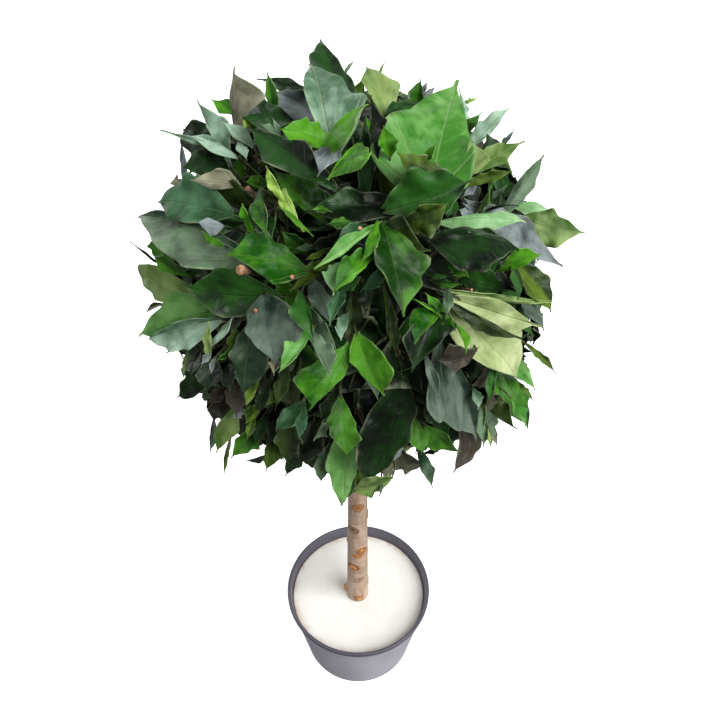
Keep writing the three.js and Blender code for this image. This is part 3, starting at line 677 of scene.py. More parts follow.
def ramp(tree, value, low, high, to_low=0.0, to_high=1.0):
    """A value stretched smoothly from one range to another."""
    inputs = {"Value": value, "From Min": low, "From Max": high, "To Min": to_low, "To Max": to_high}
    return add_node(tree, "ShaderNodeMapRange", inputs, interpolation_type="SMOOTHSTEP").outputs[0]


def mix_tones(tree, share, tones):
    """A colour between two tones, each written as six hex digits."""
    return mix_colour(tree, share, linear(tones[0]), linear(tones[1]))


def noise_value(tree, scale, detail=3.0, stretch=(1, 1, 1)):
    """Noise in the object's own coordinates, stretched along its axes."""
    place = add_node(tree, "ShaderNodeTexCoord").outputs["Object"]
    mapped = add_node(tree, "ShaderNodeMapping", {"Vector": place, "Scale": stretch}).outputs[0]
    inputs = {"Vector": mapped, "Scale": scale, "Detail": detail}
    return add_node(tree, "ShaderNodeTexNoise", inputs).outputs[0]


def new_material(name):
    material = bpy.data.materials.new(name)
    material.use_nodes = True
    return material, material.node_tree, material.node_tree.nodes["Principled BSDF"]


def point_value(tree, name):
    """The number that each point of a mesh carries under a name."""
    return add_node(tree, "ShaderNodeAttribute", attribute_name=name).outputs["Fac"]


def paint(tree, shader, colour, rough):
    """Gives a shader its colour and how rough it is."""
    tree.links.new(colour, shader.inputs["Base Color"])
    shader.inputs["Roughness"].default_value = rough


def set_bump(tree, shader, height, strength, depth):
    inputs = {"Height": height, "Strength": strength, "Distance": depth}
    tree.links.new(add_node(tree, "ShaderNodeBump", inputs).outputs[0], shader.inputs["Normal"])


def two_tone_material(name, tones, rough, scale, detail=3.0, low=0.3, high=0.7):
    """A material that varies by noise between two tones, with its nodes and the noise."""
    material, tree, shader = new_material(name)
    share = ramp(tree, noise_value(tree, scale, detail), low, high)
    paint(tree, shader, mix_tones(tree, share, tones), rough)
    return material, tree, shader, share


def blade_places(tree):
    """Places on a leaf laid flat: across and along it, and the bearing and distance from its root."""
    blade = add_node(tree, "ShaderNodeUVMap", uv_map="Blade").outputs[0]
    parts = add_node(tree, "ShaderNodeSeparateXYZ", {0: blade}).outputs
    across = calc(tree, "SUBTRACT", parts["X"], 0.5)
    along = parts["Y"]
    bearing = calc(tree, "ARCTAN2", across, along)
    squares = calc(tree, "ADD", calc(tree, "POWER", across, 2.0), calc(tree, "POWER", along, 2.0))
    return across, along, bearing, calc(tree, "SQRT", squares)


def vein_lines(tree, places):
    """Palmate veins that fan out from the leaf's root, with finer ones off the midrib."""
    across, along, bearing, reach = places
    fan = calc(tree, "MULTIPLY", calc(tree, "PINGPONG", bearing, VEIN_BEARING), reach)
    main = ramp(tree, fan, low=0.002, high=0.010, to_low=1.0, to_high=0.0)
    sideways_rise = calc(tree, "MULTIPLY", calc(tree, "ABSOLUTE", across), VEIN_SLANT)
    slanted = calc(tree, "SUBTRACT", along, sideways_rise)
    fine = calc(tree, "PINGPONG", slanted, VEIN_STEP)
    finer = ramp(tree, fine, low=0.001, high=0.010, to_low=0.25, to_high=0.0)
    return calc(tree, "MAXIMUM", main, finer)


def leaf_streaks(tree, places):
    """Streaks that run out from the leaf's root, another set for each leaf."""
    _, _, bearing, reach = places
    place = add_node(tree, "ShaderNodeTexCoord").outputs["Object"]
    offset = add_node(tree, "ShaderNodeTexNoise", {"Vector": place, "Scale": 6.0, "Detail": 0.0}).outputs[0]
    around = calc(tree, "MULTIPLY", bearing, STREAKS_AROUND)
    own = calc(tree, "MULTIPLY", offset, STREAKS_APART)
    fan = add_node(tree, "ShaderNodeCombineXYZ", {"X": around, "Y": reach, "Z": own}).outputs[0]
    return add_node(tree, "ShaderNodeTexNoise", {"Vector": fan, "Scale": 1.3, "Detail": 3.0}).outputs[0]


def leaf_material(name, tone):
    """Upper side of a leaf: two tones in streaks and mottles with the painted shade of its tint, patches of
    dust and painted sheen, and a painted highlight along the margin.
    """
    material, tree, shader = new_material("leaf_" + name)
    places = blade_places(tree)
    # Each point's tint holds the leaf's tone together with painted shade along and across the blade
    tint = point_value(tree, "tint")
    rim = point_value(tree, "rim")
    patches = noise_value(tree, scale=42.0, detail=5.0)
    mottle = ramp(tree, patches, low=0.3, high=0.7, to_low=-0.45, to_high=0.45)
    streaks = ramp(tree, leaf_streaks(tree, places), low=0.3, high=0.7, to_low=-0.14, to_high=0.14)
    varied = calc(tree, "ADD", calc(tree, "ADD", tint, mottle), streaks)
    share = add_node(tree, "ShaderNodeClamp", {0: varied}).outputs[0]
    body = mix_tones(tree, share, (tone.deep, tone.light))
    # Pale grey-green patches of dust and painted sheen
    dust_and_sheen = ramp(tree, noise_value(tree, scale=34.0, detail=5.0), low=0.54, high=0.76, to_high=0.05)
    dusted_and_sheened = mix_colour(tree, dust_and_sheen, body, linear(LEAF_DUST_AND_SHEEN))
    veins = vein_lines(tree, places)
    veined = mix_colour(tree, calc(tree, "MULTIPLY", veins, VEINS_SHOWN), dusted_and_sheened, linear(tone.under))
    # A painted highlight along the leaf's margin, broken up by noise
    highlight_breaks = ramp(tree, noise_value(tree, scale=60.0), low=0.4, high=0.7, to_low=0.1, to_high=0.6)
    edge_highlighted = mix_colour(tree, calc(tree, "MULTIPLY", rim, highlight_breaks), veined, linear(LEAF_EDGE_HIGHLIGHT))
    tree.links.new(edge_highlighted, shader.inputs["Base Color"])
    smoothest, roughest = tone.rough - GLOSS_VARIES[0], tone.rough + GLOSS_VARIES[1]
    wear = noise_value(tree, scale=34.0)
    gloss = ramp(tree, wear, low=0.25, high=0.75, to_low=smoothest, to_high=roughest)
    tree.links.new(gloss, shader.inputs["Roughness"])
    shader.inputs["Specular IOR Level"].default_value = LEAF_SHEEN
    grain = noise_value(tree, scale=58.0, detail=1.4)
    relief = calc(tree, "SUBTRACT", grain, calc(tree, "MULTIPLY", veins, VEINS_SUNK))
    set_bump(tree, shader, relief, strength=0.7, depth=0.010)
    return material


def leaf_under_material(name, tone):
    """Under side of a leaf: paler and duller, with raised veins."""
    material, tree, shader = new_material("leaf_under_" + name)
    mottle = ramp(tree, noise_value(tree, scale=45.0), low=0.3, high=0.7, to_low=0.75, to_high=1.1)
    veins = vein_lines(tree, blade_places(tree))
    body = mix_colour(tree, 1.0, linear(tone.under), mottle, "MULTIPLY")
    shown = calc(tree, "MULTIPLY", veins, UNDER_VEINS_SHOWN)
    paint(tree, shader, mix_colour(tree, shown, body, linear(UNDER_VEINS)), rough=0.58)
    shader.inputs["Specular IOR Level"].default_value = UNDER_SHEEN
    set_bump(tree, shader, veins, strength=0.4, depth=0.0006)
    return material


def leaf_margin_material(name, tone):
    """Thin edge of a leaf, a little paler than its upper side."""
    tones = (tone.light, tone.under)
    return two_tone_material("leaf_margin_" + name, tones, rough=0.5, scale=60.0, low=0.4)[0]


def stalk_material():
    return two_tone_material("leaf_stalk", STALK_TONES, rough=0.5, scale=70.0, low=0.35, high=0.65)[0]


def twig_material():
    made = two_tone_material("twig_bark", TWIG_TONES, rough=0.75, scale=120.0, detail=4.0)
    material, tree, shader, _ = made
    set_bump(tree, shader, noise_value(tree, scale=400.0), strength=0.4, depth=0.0005)
    return material


def core_material():
    # The core's near-black tones are painted shade
    return two_tone_material("ball_core_shade", CORE_SHADE_TONES, rough=0.9, scale=80.0, detail=5.0)[0]


def cut_wood_material(name, tones):
    """Fresh wood of a cut end, with browner streaks."""
    material, tree, shader, share = two_tone_material(name, tones, rough=0.65, scale=240.0)
    set_bump(tree, shader, share, strength=0.3, depth=0.0004)
    return material


def bark_material():
    """Smooth grey-brown bark with fine streaks, golden and dark where side shoots were cut."""
    material, tree, shader = new_material("stem_bark")
    clouds = noise_value(tree, scale=38.0, detail=4.0, stretch=(1, 1, 0.5))
    lines = noise_value(tree, scale=150.0, detail=4.0, stretch=(1, 1, 0.14))
    bands = noise_value(tree, scale=120.0, stretch=(0.25, 0.25, 2.2))
    patches = ramp(tree, clouds, low=0.3, high=0.7)
    streaks = ramp(tree, lines, low=0.35, high=0.7)
    rings = ramp(tree, bands, low=0.52, high=0.72)
    base = mix_tones(tree, patches, BARK_TONES)
    lined = mix_colour(tree, calc(tree, "MULTIPLY", streaks, STREAKS_SHOWN), base, linear(BARK_STREAK))
    banded = mix_colour(tree, calc(tree, "MULTIPLY", rings, RINGS_SHOWN), lined, linear(BARK_RING))
    golden = mix_colour(tree, point_value(tree, "gold"), banded, linear(SCAR_GOLD))
    scarred = mix_colour(tree, point_value(tree, "dark"), golden, linear(SCAR_DARK))
    paint(tree, shader, scarred, rough=0.62)
    relief = calc(tree, "ADD", streaks, noise_value(tree, scale=420.0))
    set_bump(tree, shader, relief, strength=0.4, depth=0.0006)
    return material


def plaster_material():
    """Cast plaster: off-white, faintly cloudy, stained a warm grey towards the wall."""
    material, tree, shader = new_material("plaster_cast")
    cloud = ramp(tree, noise_value(tree, scale=22.0, detail=4.0), low=0.3, high=0.75)
    body = mix_tones(tree, cloud, PLASTER_TONES)
    patches = noise_value(tree, scale=48.0, detail=4.0)
    blots = ramp(tree, patches, low=0.35, high=0.7, to_low=0.1, to_high=0.8)
    stain = calc(tree, "MULTIPLY", point_value(tree, "edge"), blots)
    warm = mix_colour(tree, stain, body, linear(PLASTER_STAIN))
    specks = ramp(tree, noise_value(tree, scale=260.0, detail=1.0), low=0.72, high=0.8, to_high=0.3)
    paint(tree, shader, mix_colour(tree, specks, warm, linear(PLASTER_SPECK)), rough=0.88)
    set_bump(tree, shader, noise_value(tree, scale=420.0, detail=4.0), strength=0.3, depth=0.0005)
    return material


def pot_material():
    """Moulded grey plastic, painted paler below its rim as painted bounce light from the floor, with a satin
    gloss and faint scuffs.
    """
    material, tree, shader = new_material("pot_plastic")
    cloud = ramp(tree, noise_value(tree, scale=16.0), low=0.3, high=0.7)
    rim = mix_tones(tree, cloud, RIM_TONES)
    wall = mix_tones(tree, cloud, WALL_BOUNCE_LIT_TONES)
    # The wall's paler tones are painted bounce light from the floor
    tree.links.new(mix_colour(tree, point_value(tree, "side"), rim, wall), shader.inputs["Base Color"])
    scuffs = noise_value(tree, scale=60.0, detail=4.0, stretch=(1, 1, 0.4))
    gloss = ramp(tree, scuffs, low=0.3, high=0.7, to_low=0.34, to_high=0.46)
    tree.links.new(gloss, shader.inputs["Roughness"])
    set_bump(tree, shader, noise_value(tree, scale=1400.0, detail=2.0), strength=0.05, depth=0.0002)
    return material


def floor_material():
    material, _, shader = new_material("floor_white")
    shader.inputs["Base Color"].default_value = (0.92, 0.92, 0.92, 1.0)
    shader.inputs["Roughness"].default_value = 1.0
    shader.inputs["Specular IOR Level"].default_value = 0.0
    shader.inputs["Emission Color"].default_value = (1.0, 1.0, 1.0, 1.0)
    shader.inputs["Emission Strength"].default_value = FLOOR_GLOW
    return material


# Mesh making


def add_mesh(name, points, faces, materials, face_slots=None, flat_faces=None):
    """A mesh object from arrays; faces with the same number of corners come as one array."""
    mesh = bpy.data.meshes.new(name)
    mesh.from_pydata(np.asarray(points).tolist(), [], [list(face) for face in faces])
    for material in materials:
        mesh.materials.append(material)
    smooth = np.ones(len(mesh.polygons), bool)
    if flat_faces is not None:
        smooth[flat_faces] = False
    mesh.polygons.foreach_set("use_smooth", smooth)
    if face_slots is not None:
        mesh.polygons.foreach_set("material_index", face_slots)
    mesh.update()
    thing = bpy.data.objects.new(name, mesh)
    bpy.context.scene.collection.objects.link(thing)
    return thing


def settle(piece, node):
    """The piece moves with the whole plant and stands for a solid, whose own mesh is hidden."""
    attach(piece, "root")
    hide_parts(node)


def add_values(piece, name, values):
    """One number for each point of a mesh, which its material reads by name."""
    piece.data.attributes.new(name, "FLOAT", "POINT").data.foreach_set("value", values)


def ring_faces(index):
    """Faces with four corners between rings of points, which come as rows of point numbers."""
    ahead = np.roll(index, -1, 1)
    return np.stack([index[:-1], ahead[:-1], ahead[1:], index[1:]], -1).reshape(-1, 4).tolist()


def capped_faces(index):
    """The faces of rings of points, with one flat face on each end."""
    return ring_faces(index) + [index[0, ::-1].tolist(), index[-1].tolist()]


def turned(profile, sides):
    """Points and faces of a profile of (radius, height) turned about +Z, from axis to axis."""
    turns = round_turns(sides)
    inner = np.array(profile[1:-1])
    rings = np.stack([
        inner[:, :1] * np.cos(turns), inner[:, :1] * np.sin(turns), np.repeat(inner[:, 1:], sides, 1)], -1)
    points = np.vstack([rings.reshape(-1, 3), [0, 0, profile[0][1]], [0, 0, profile[-1][1]]])
    index = np.arange(len(inner) * sides).reshape(len(inner), sides)
    ahead = np.roll(index, -1, 1)
    faces = ring_faces(index)
    first, last = len(points) - 2, len(points) - 1
    faces += [[first, b, a] for a, b in zip(index[0], ahead[0])]
    faces += [[last, a, b] for a, b in zip(index[-1], ahead[-1])]
    return points, faces


def tube(path, radii, sides):
    """Points and faces of a closed tube along a path."""
    path = np.asarray(path)
    headings = np.gradient(path, axis=0)
    start = Z_AXIS if abs(unit(headings[0])[2]) < TUBE_UPRIGHT else X_AXIS
    turns = round_turns(sides)
    points = []
    for place, heading, radius in zip(path, headings, radii):
        first = unit(np.cross(heading, start))
        second = unit(np.cross(heading, first))
        points.append(place + radius * (np.outer(np.cos(turns), first) + np.outer(np.sin(turns), second)))
    return np.vstack(points), capped_faces(np.arange(len(path) * sides).reshape(len(path), sides))


def straight(start, end, count):
    """Evenly spaced places from one place to another."""
    return start + np.linspace(0, 1, count)[:, None] * (end - start)


def joined(parts):
    """Several (points, faces) as one."""
    points, faces, count = [], [], 0
    for part_points, part_faces in parts:
        points.append(part_points)
        faces += [[corner + count for corner in face] for face in part_faces]
        count += len(part_points)
    return np.vstack(points), faces


# Leaves

LeafForm = namedtuple(
    "LeafForm",
    "left_widest right_widest left_half right_half corner taper fold cup bend hook twist sweep "
    "ripple waves phase swell tail heart slope halves")
# The last two ranges give painted shade along a leaf, mostly darker at its root, and painted light and shade
# across it, one half lighter than the other
FORM_RANGES = LeafForm(
    left_widest=LEAF_WIDEST, right_widest=LEAF_WIDEST, left_half=LEAF_HALF, right_half=LEAF_HALF,
    corner=(0.35, 1.1), taper=(1.1, 1.45), fold=(0.05, 0.75), cup=(-0.9, 1.1), bend=(0.1, 1.0),
    hook=(-0.3, 0.7), twist=(-0.7, 0.7), sweep=(-0.14, 0.14), ripple=(0.036, 0.09), waves=(2.8, 4.8),
    phase=(0.0, 6.28), swell=(0.012, 0.034), tail=(0.02, 0.08), heart=(0.0, 0.07), slope=(-0.2, 0.8),
    halves=(-0.45, 0.45))


def draw_form(random, **fixed):
    """A leaf's form, drawn from the ranges, with some of its numbers fixed."""
    drawn = LeafForm(*(between(pair, next(random)) for pair in FORM_RANGES))
    return drawn._replace(**fixed)


def bump_at(value, middle, width):
    return np.exp(-((value - middle) / width) ** 2)


def half_breadth(along, widest, form):
    """Breadth of one side along a leaf, as a share of its widest: a corner, then a fine tip."""
    body = np.clip(along / (1 - form.tail), 0, 1)
    below = 1 - np.clip(1 - body / widest, 0, 1) ** (1 + ROOT_ROUND * max(1 - form.corner, 0.0))
    past = np.clip((body - widest) / (1 - widest), 0, 1)
    beyond = (1 - past) ** form.taper * (1 + (form.taper - form.corner) * past)
    tail = TAIL_BREADTH[0] + TAIL_BREADTH[1] * (1 - along)
    return np.maximum(np.where(body < widest, below, beyond), tail)


def turning(one, other):
    """The matrix that turns one direction to another by the shortest way."""
    axis = np.cross(one, other)
    skew = np.array([[0, -axis[2], axis[1]], [axis[2], 0, -axis[0]], [-axis[1], axis[0], 0]])
    return np.eye(3) + skew + skew @ skew / (1 + one @ other)


def blade_columns(columns):
    """Places of a leaf's columns from margin to margin, closer together towards the margins."""
    even = np.linspace(-1, 1, columns + 1)
    return (even + np.sin(even * math.pi / 2)) / 2


def leaf_blade(form, grid):
    """A leaf's upper side, with root at the origin and tip at 1 on +Y, and the same blade laid flat."""
    rows, columns = grid
    along = ROOT_SHARE + (1 - ROOT_SHARE) * np.linspace(0, 1, rows + 1) ** ROW_CROWDING
    s = along[:, None]
    t = blade_columns(columns)[None, :]
    left, right = half_breadth(s, form.left_widest, form), half_breadth(s, form.right_widest, form)
    share = np.where(t < 0, left, right)
    half = np.maximum(np.where(t < 0, form.left_half, form.right_half) * share, LEAST_HALF_BREADTH)
    waves = min(form.waves, rows / ROWS_PER_WAVE)
    swing = 2 * math.pi * waves * s + form.phase + SIDES_OUT_OF_STEP * (t > 0)
    slow_wave = SLOW_WAVE_SHARE * np.sin(SLOW_WAVE_PACE * swing + SLOW_WAVE_START)
    wave = (np.sin(swing) + slow_wave) * np.abs(t) ** RUFFLE_POWER * share
    ruffle = form.ripple * wave * np.minimum(half / RUFFLED_HALF, 1)
    x = t * half * (1 + MARGIN_WAVE * ruffle)
    y = s - form.heart * t ** 2 * (1 - s) ** HEART_POWER
    z = form.fold * (np.hypot(x, MIDRIB_ROUND) - MIDRIB_ROUND) - form.cup * x ** 2 + ruffle
    lengthwise = np.sin(SWELLS_ALONG * s + form.phase)
    crosswise = np.sin(SWELLS_ACROSS * t + 2 * form.phase)
    z = z + form.swell * share * lengthwise * crosswise
    turn = form.bend * along + form.hook * along ** HOOK_POWER
    nought = np.zeros_like(along)
    forward = np.stack([nought, np.cos(turn), -np.sin(turn)], -1)
    above = np.stack([nought, np.sin(turn), np.cos(turn)], -1)
    midrib = np.cumsum(forward * np.diff(along, prepend=along[0])[:, None], axis=0)
    midrib[:, 0] += form.sweep * along ** 2
    roll = (form.twist * along)[:, None]
    side = np.cos(roll) * X_AXIS + np.sin(roll) * above
    above = np.cos(roll) * above - np.sin(roll) * X_AXIS
    points = midrib[:, None] + x[..., None] * side[:, None] + z[..., None] * above[:, None]
    points = points + (y - s)[..., None] * forward[:, None]
    points = points - points[0, columns // 2]
    tip = points[-1, columns // 2]
    points = points @ turning(unit(tip), Y_AXIS).T / np.linalg.norm(tip)
    # Painted shade along the blade, mostly darker at the root, and painted light and shade that make one
    # half lighter than the other
    shading = form.slope * (s - 0.5) + form.halves * np.tanh(HALVES_SHARPNESS * t)
    return points, np.stack(np.broadcast_arrays(0.5 + x, y), -1), shading


Leaf = namedtuple("Leaf", "upper lower flat tints grid")


def place_leaf(form, grid, root, tip, upper, tint):
    """A leaf between two places, with its upper side towards a direction."""
    chord = tip - root
    length = np.linalg.norm(chord)
    pointing = chord / length
    facing = unit(upper - pointing * (upper @ pointing))
    across = np.cross(pointing, facing)
    blade, flat, shading = leaf_blade(form, grid)
    points = root + length * blade @ np.array([across, pointing, facing])
    normal = np.cross(np.gradient(points, axis=1), np.gradient(points, axis=0))
    normal /= np.linalg.norm(normal, axis=-1, keepdims=True)
    # The tints carry this painted shade and light as well as the leaf's own tint
    return Leaf(points, points - LEAF_THICKNESS * normal, flat, tint + shading, grid)


def leaf_samples(leaf):
    """A few points over a leaf, for keeping others clear of it."""
    rows, columns = leaf.grid
    chosen_rows = np.linspace(1, rows, SAMPLE_ROWS).round().astype(int)
    chosen_columns = np.linspace(0, columns, SAMPLE_COLUMNS).round().astype(int)
    return leaf.upper[np.ix_(chosen_rows, chosen_columns)].reshape(-1, 3)


@lru_cache(maxsize=None)
def leaf_faces(grid):
    """Faces of one leaf, all facing out: its upper side, its under side and the rim between them."""
    rows, columns = grid
    index = np.arange((rows + 1) * (columns + 1)).reshape(rows + 1, columns + 1)
    upper = np.stack([index[:-1, :-1], index[:-1, 1:], index[1:, 1:], index[1:, :-1]], -1).reshape(-1, 4)
    lower = upper[:, ::-1] + index.size
    edge = np.concatenate([index[0, :-1], index[:-1, -1], index[-1, :0:-1], index[:0:-1, 0]])
    ahead = np.roll(edge, -1)
    rim = np.stack([edge, edge + index.size, ahead + index.size, ahead], -1)
    return upper, lower, rim


def cell_places(flat, cell, cells):
    """A flat blade fitted into one cell of a square sheet of cells."""
    low, high = flat.min(0), flat.max(0)
    inside = CELL_MARGIN + (1 - 2 * CELL_MARGIN) * (flat - low) / (high - low)
    return (inside + [cell % cells, cell // cells]) / cells


def leaf_sheet(leaf, number, cells):
    """Where each corner of a leaf's faces lies on its piece's sheet of cells."""
    upper, lower, rim = leaf_faces(leaf.grid)
    flat = leaf.flat.reshape(-1, 2)
    above = cell_places(flat, 2 * number, cells)
    below = cell_places(flat, 2 * number + 1, cells)
    outward = above - above.mean(0)
    outer = above + RIM_IN_CELL / cells * outward / np.linalg.norm(outward, axis=1, keepdims=True)
    edge, ahead = rim[:, 0], rim[:, 3]
    around = np.stack([above[edge], outer[edge], outer[ahead], above[ahead]], 1)
    return np.vstack([above[upper.ravel()], below[lower.ravel() - len(flat)], around.reshape(-1, 2)])


def join_leaves(name, leaves, materials):
    """One piece of many leaves, with slots for upper side, under side and margin."""
    points, faces, slots, blades, sheet, tints, edge_highlights, count = [], [], [], [], [], [], [], 0
    cells = math.ceil(math.sqrt(2 * len(leaves)))
    for number, leaf in enumerate(leaves):
        sides = leaf_faces(leaf.grid)
        flat = np.tile(leaf.flat.reshape(-1, 2), (2, 1))
        points += [leaf.upper.reshape(-1, 3), leaf.lower.reshape(-1, 3)]
        for slot, part in enumerate(sides):
            faces.append(part + count)
            slots.append(np.full(len(part), slot))
            blades.append(flat[part.ravel()])
        sheet.append(leaf_sheet(leaf, number, cells))
        tints.append(np.tile(leaf.tints.ravel(), 2))
        # How strongly each point takes the painted highlight along the margin
        rim = smoothstep(np.abs(blade_columns(leaf.grid[1])), *EDGE_HIGHLIGHT_RANGE)
        edge_highlights.append(np.tile(rim, 2 * (leaf.grid[0] + 1)))
        count += len(flat)
    slots = np.concatenate(slots)
    piece = add_mesh(name, np.vstack(points), np.vstack(faces), materials, slots, slots == MARGIN_SLOT)
    # The tint values hold painted shade and light as well as each leaf's tone
    add_values(piece, "tint", np.concatenate(tints))
    add_values(piece, "rim", np.concatenate(edge_highlights))
    piece.data.uv_layers.new(name="Blade").uv.foreach_set("vector", np.vstack(blades).ravel())
    piece.data.uv_layers.new(name="OFBake").uv.foreach_set("vector", np.vstack(sheet).ravel())
    return piece


# The photograph's view


def pixel_ray(pixel):
    """Direction from the camera through a pixel."""
    across = (pixel[0] - IMAGE_SIZE / 2) / FOCAL_PX
    up = (IMAGE_SIZE / 2 - pixel[1]) / FOCAL_PX
    return unit(VIEW_AHEAD + across * X_AXIS + up * VIEW_UP)


def pixels_of(points):
    """Pixels and depths of points in the photograph's view."""
    offset = points - CAMERA_PLACE
    depth = offset @ VIEW_AHEAD
    up = offset @ VIEW_UP
    across = IMAGE_SIZE / 2 + FOCAL_PX * offset[:, 0] / depth
    down = IMAGE_SIZE / 2 - FOCAL_PX * up / depth
    return np.stack([across, down], -1), depth


def cells_of(pixels):
    """Row and column of each pixel in a picture-sized array."""
    whole = np.clip(pixels.round().astype(int), 0, IMAGE_SIZE - 1)
    return whole[:, 1], whole[:, 0]


def stamp(picture, pixels, values, spread, keep):
    """Marks a square about each pixel of a picture-sized array, where the new value is the one to keep."""
    for row, column, value in zip(*cells_of(pixels), values):
        window = picture[max(row - spread, 0):row + spread + 1, max(column - spread, 0):column + spread + 1]
        keep(window, value, out=window)


def on_ball(pixel, radius):
    """Where the ray through a pixel meets a ball about the ivy's centre, or comes nearest to it."""
    ray = pixel_ray(pixel)
    offset = BALL_CENTRE - CAMERA_PLACE
    along = offset @ ray
    miss = offset @ offset - along * along
    place = CAMERA_PLACE + ray * (along - math.sqrt(max(radius * radius - miss, 0.0)))
    away = np.linalg.norm(place - BALL_CENTRE)
    return BALL_CENTRE + (place - BALL_CENTRE) * min(1.0, BALL_REACH / away)


# Growing the ball


class Foliage:
    """The leaves grown so far, by tone, with what later leaves keep clear of."""

    def __init__(self):
        self.by_tone = defaultdict(list)
        self.samples = []
        self.middles = []
        self.front = np.full((IMAGE_SIZE, IMAGE_SIZE), np.inf)
        self.sight = np.full((IMAGE_SIZE, IMAGE_SIZE), -np.inf)
        self.stalks = []
        self.twigs = []
        self.cut_ends = []

    def add(self, leaf, tone):
        samples = leaf_samples(leaf)
        self.by_tone[tone].append(leaf)
        self.samples.append(samples)
        self.middles.append(samples.mean(0))

    def bring_forward(self, leaf):
        """The leaf moved along the lines of sight until it lies before those placed earlier."""
        points = leaf.upper.reshape(-1, 3)
        pixels, depths = pixels_of(points)
        fronts = self.front[cells_of(pixels)]
        overlaps = np.isfinite(fronts)
        needed = np.append(depths[overlaps] + SPOT_GAP - fronts[overlaps], 0.0)
        shift = min(float(np.quantile(needed, SPOT_CLEAR_SHARE)), SPOT_MOST_SHIFT)
        moved = CAMERA_PLACE + (points - CAMERA_PLACE) * (1 - shift / depths)[:, None]
        lower = leaf.lower + (moved - points).reshape(leaf.lower.shape)
        stamp(self.front, pixels, depths - shift, SPOT_SPLAT_PX, np.minimum)
        return leaf._replace(upper=moved.reshape(leaf.upper.shape), lower=lower)

    def keep_in_sight(self, points):
        """Later leaves don't come between these points and the photograph's viewer."""
        pixels, depths = pixels_of(points)
        stamp(self.sight, pixels, depths, HIDING_PX, np.maximum)

    def touches(self, samples, reach):
        """Whether a leaf would come too near one that has grown already."""
        away = np.linalg.norm(np.array(self.middles) - samples.mean(0), axis=1)
        near = np.flatnonzero(away < NEAR_IN_LENGTHS * reach)
        if len(near) == 0:
            return False
        others = np.vstack([self.samples[i] for i in near])
        gaps = np.linalg.norm(samples[:, None] - others[None], axis=-1)
        return gaps.min() < LEAF_CLEARANCE

    def hides_spot(self, samples):
        """Whether a leaf would stand before one that the photograph shows."""
        pixels, depths = pixels_of(samples)
        return bool((depths < self.sight[cells_of(pixels)] + SPOT_ROOM).any())


def past_limb(samples):
    """Whether a leaf would stand out past the ball's edge in the photograph's view."""
    pixels, _ = pixels_of(np.vstack([BALL_CENTRE, samples]))
    return bool((np.linalg.norm(pixels[1:] - pixels[0], axis=1) > SEEN_LIMB_PX).any())


def leaf_fits(samples, reach):
    """A leaf stays within its reach and clear of the stem."""
    offset = samples - BALL_CENTRE
    if np.linalg.norm(offset, axis=1).max() > reach:
        return False
    return not ((offset[:, 2] < 0) & (np.hypot(samples[:, 0], samples[:, 1]) < STEM_CLEARANCE)).any()


def spot_ends(spot):
    """Where a spot's leaf starts and ends, leaning no more than a little along the line of sight."""
    shown_root, shown_tip = np.array(spot.root), np.array(spot.tip)
    hidden_root = shown_root - SPOT_HIDDEN_SHARE * (shown_tip - shown_root)
    ends = np.array([on_ball(hidden_root, SPOT_ROOT_RADIUS), on_ball(shown_tip, SPOT_TIP_RADIUS)])
    _, depths = pixels_of(ends)
    most = SPOT_STEEPEST / 2 * math.dist(hidden_root, shown_tip) * depths.mean() / FOCAL_PX
    lean = np.clip((depths[1] - depths[0]) / 2, -most, most)
    new_depths = depths.mean() + lean * np.array([-1.0, 1.0])
    return CAMERA_PLACE + (ends - CAMERA_PLACE) * (new_depths / depths)[:, None]


def from_centre(direction, distance):
    """The place at a distance from the ball's centre."""
    return BALL_CENTRE + direction * distance


def seen_breadth(spot):
    """How broad a spot's leaf looks, as a share of its length."""
    return math.dist(spot.edge, spot.other) / math.dist(spot.root, spot.tip)


def spot_facing(spot, number, random, root, tip):
    """Which way a spot's leaf faces: partly out, partly to the viewer, and rolled where it looks narrow."""
    middle = (root + tip) / 2
    pointing = unit(tip - root)
    outward, to_viewer = unit(middle - BALL_CENTRE), unit(CAMERA_PLACE - middle)
    facing = between((outward, to_viewer), SPOT_FACES_VIEWER)
    facing = unit(facing - pointing * (facing @ pointing))
    seen = seen_breadth(spot)
    roll = SPOT_ROLL * (2 * next(random) - 1)
    if seen < SPOT_NARROW:
        roll = STEEPEST_ROLL * (1 - seen / SPOT_NARROW) * (1 if number % 2 else -1)
    return math.cos(roll) * facing + math.sin(roll) * np.cross(pointing, facing)


def calmer_form(spot, form, aslant):
    """A drawn form made calmer where a leaf lies aslant or looks broad, with its spot's own numbers."""
    calm = aslant * min(1.0, (SPOT_BROAD / seen_breadth(spot)) ** 2)
    own = {name: getattr(spot, name) for name in ("slope", "halves", "corner")}
    given = {name: value for name, value in own.items() if value is not None}
    form = form._replace(
        twist=SPOT_TWIST * form.twist, sweep=SPOT_SWEEP * form.sweep, bend=SPOT_BEND * form.bend,
        fold=form.fold * aslant, cup=form.cup * calm, ripple=form.ripple * calm,
        left_half=SPOT_HALF[0], right_half=SPOT_HALF[0])
    return form._replace(**given)


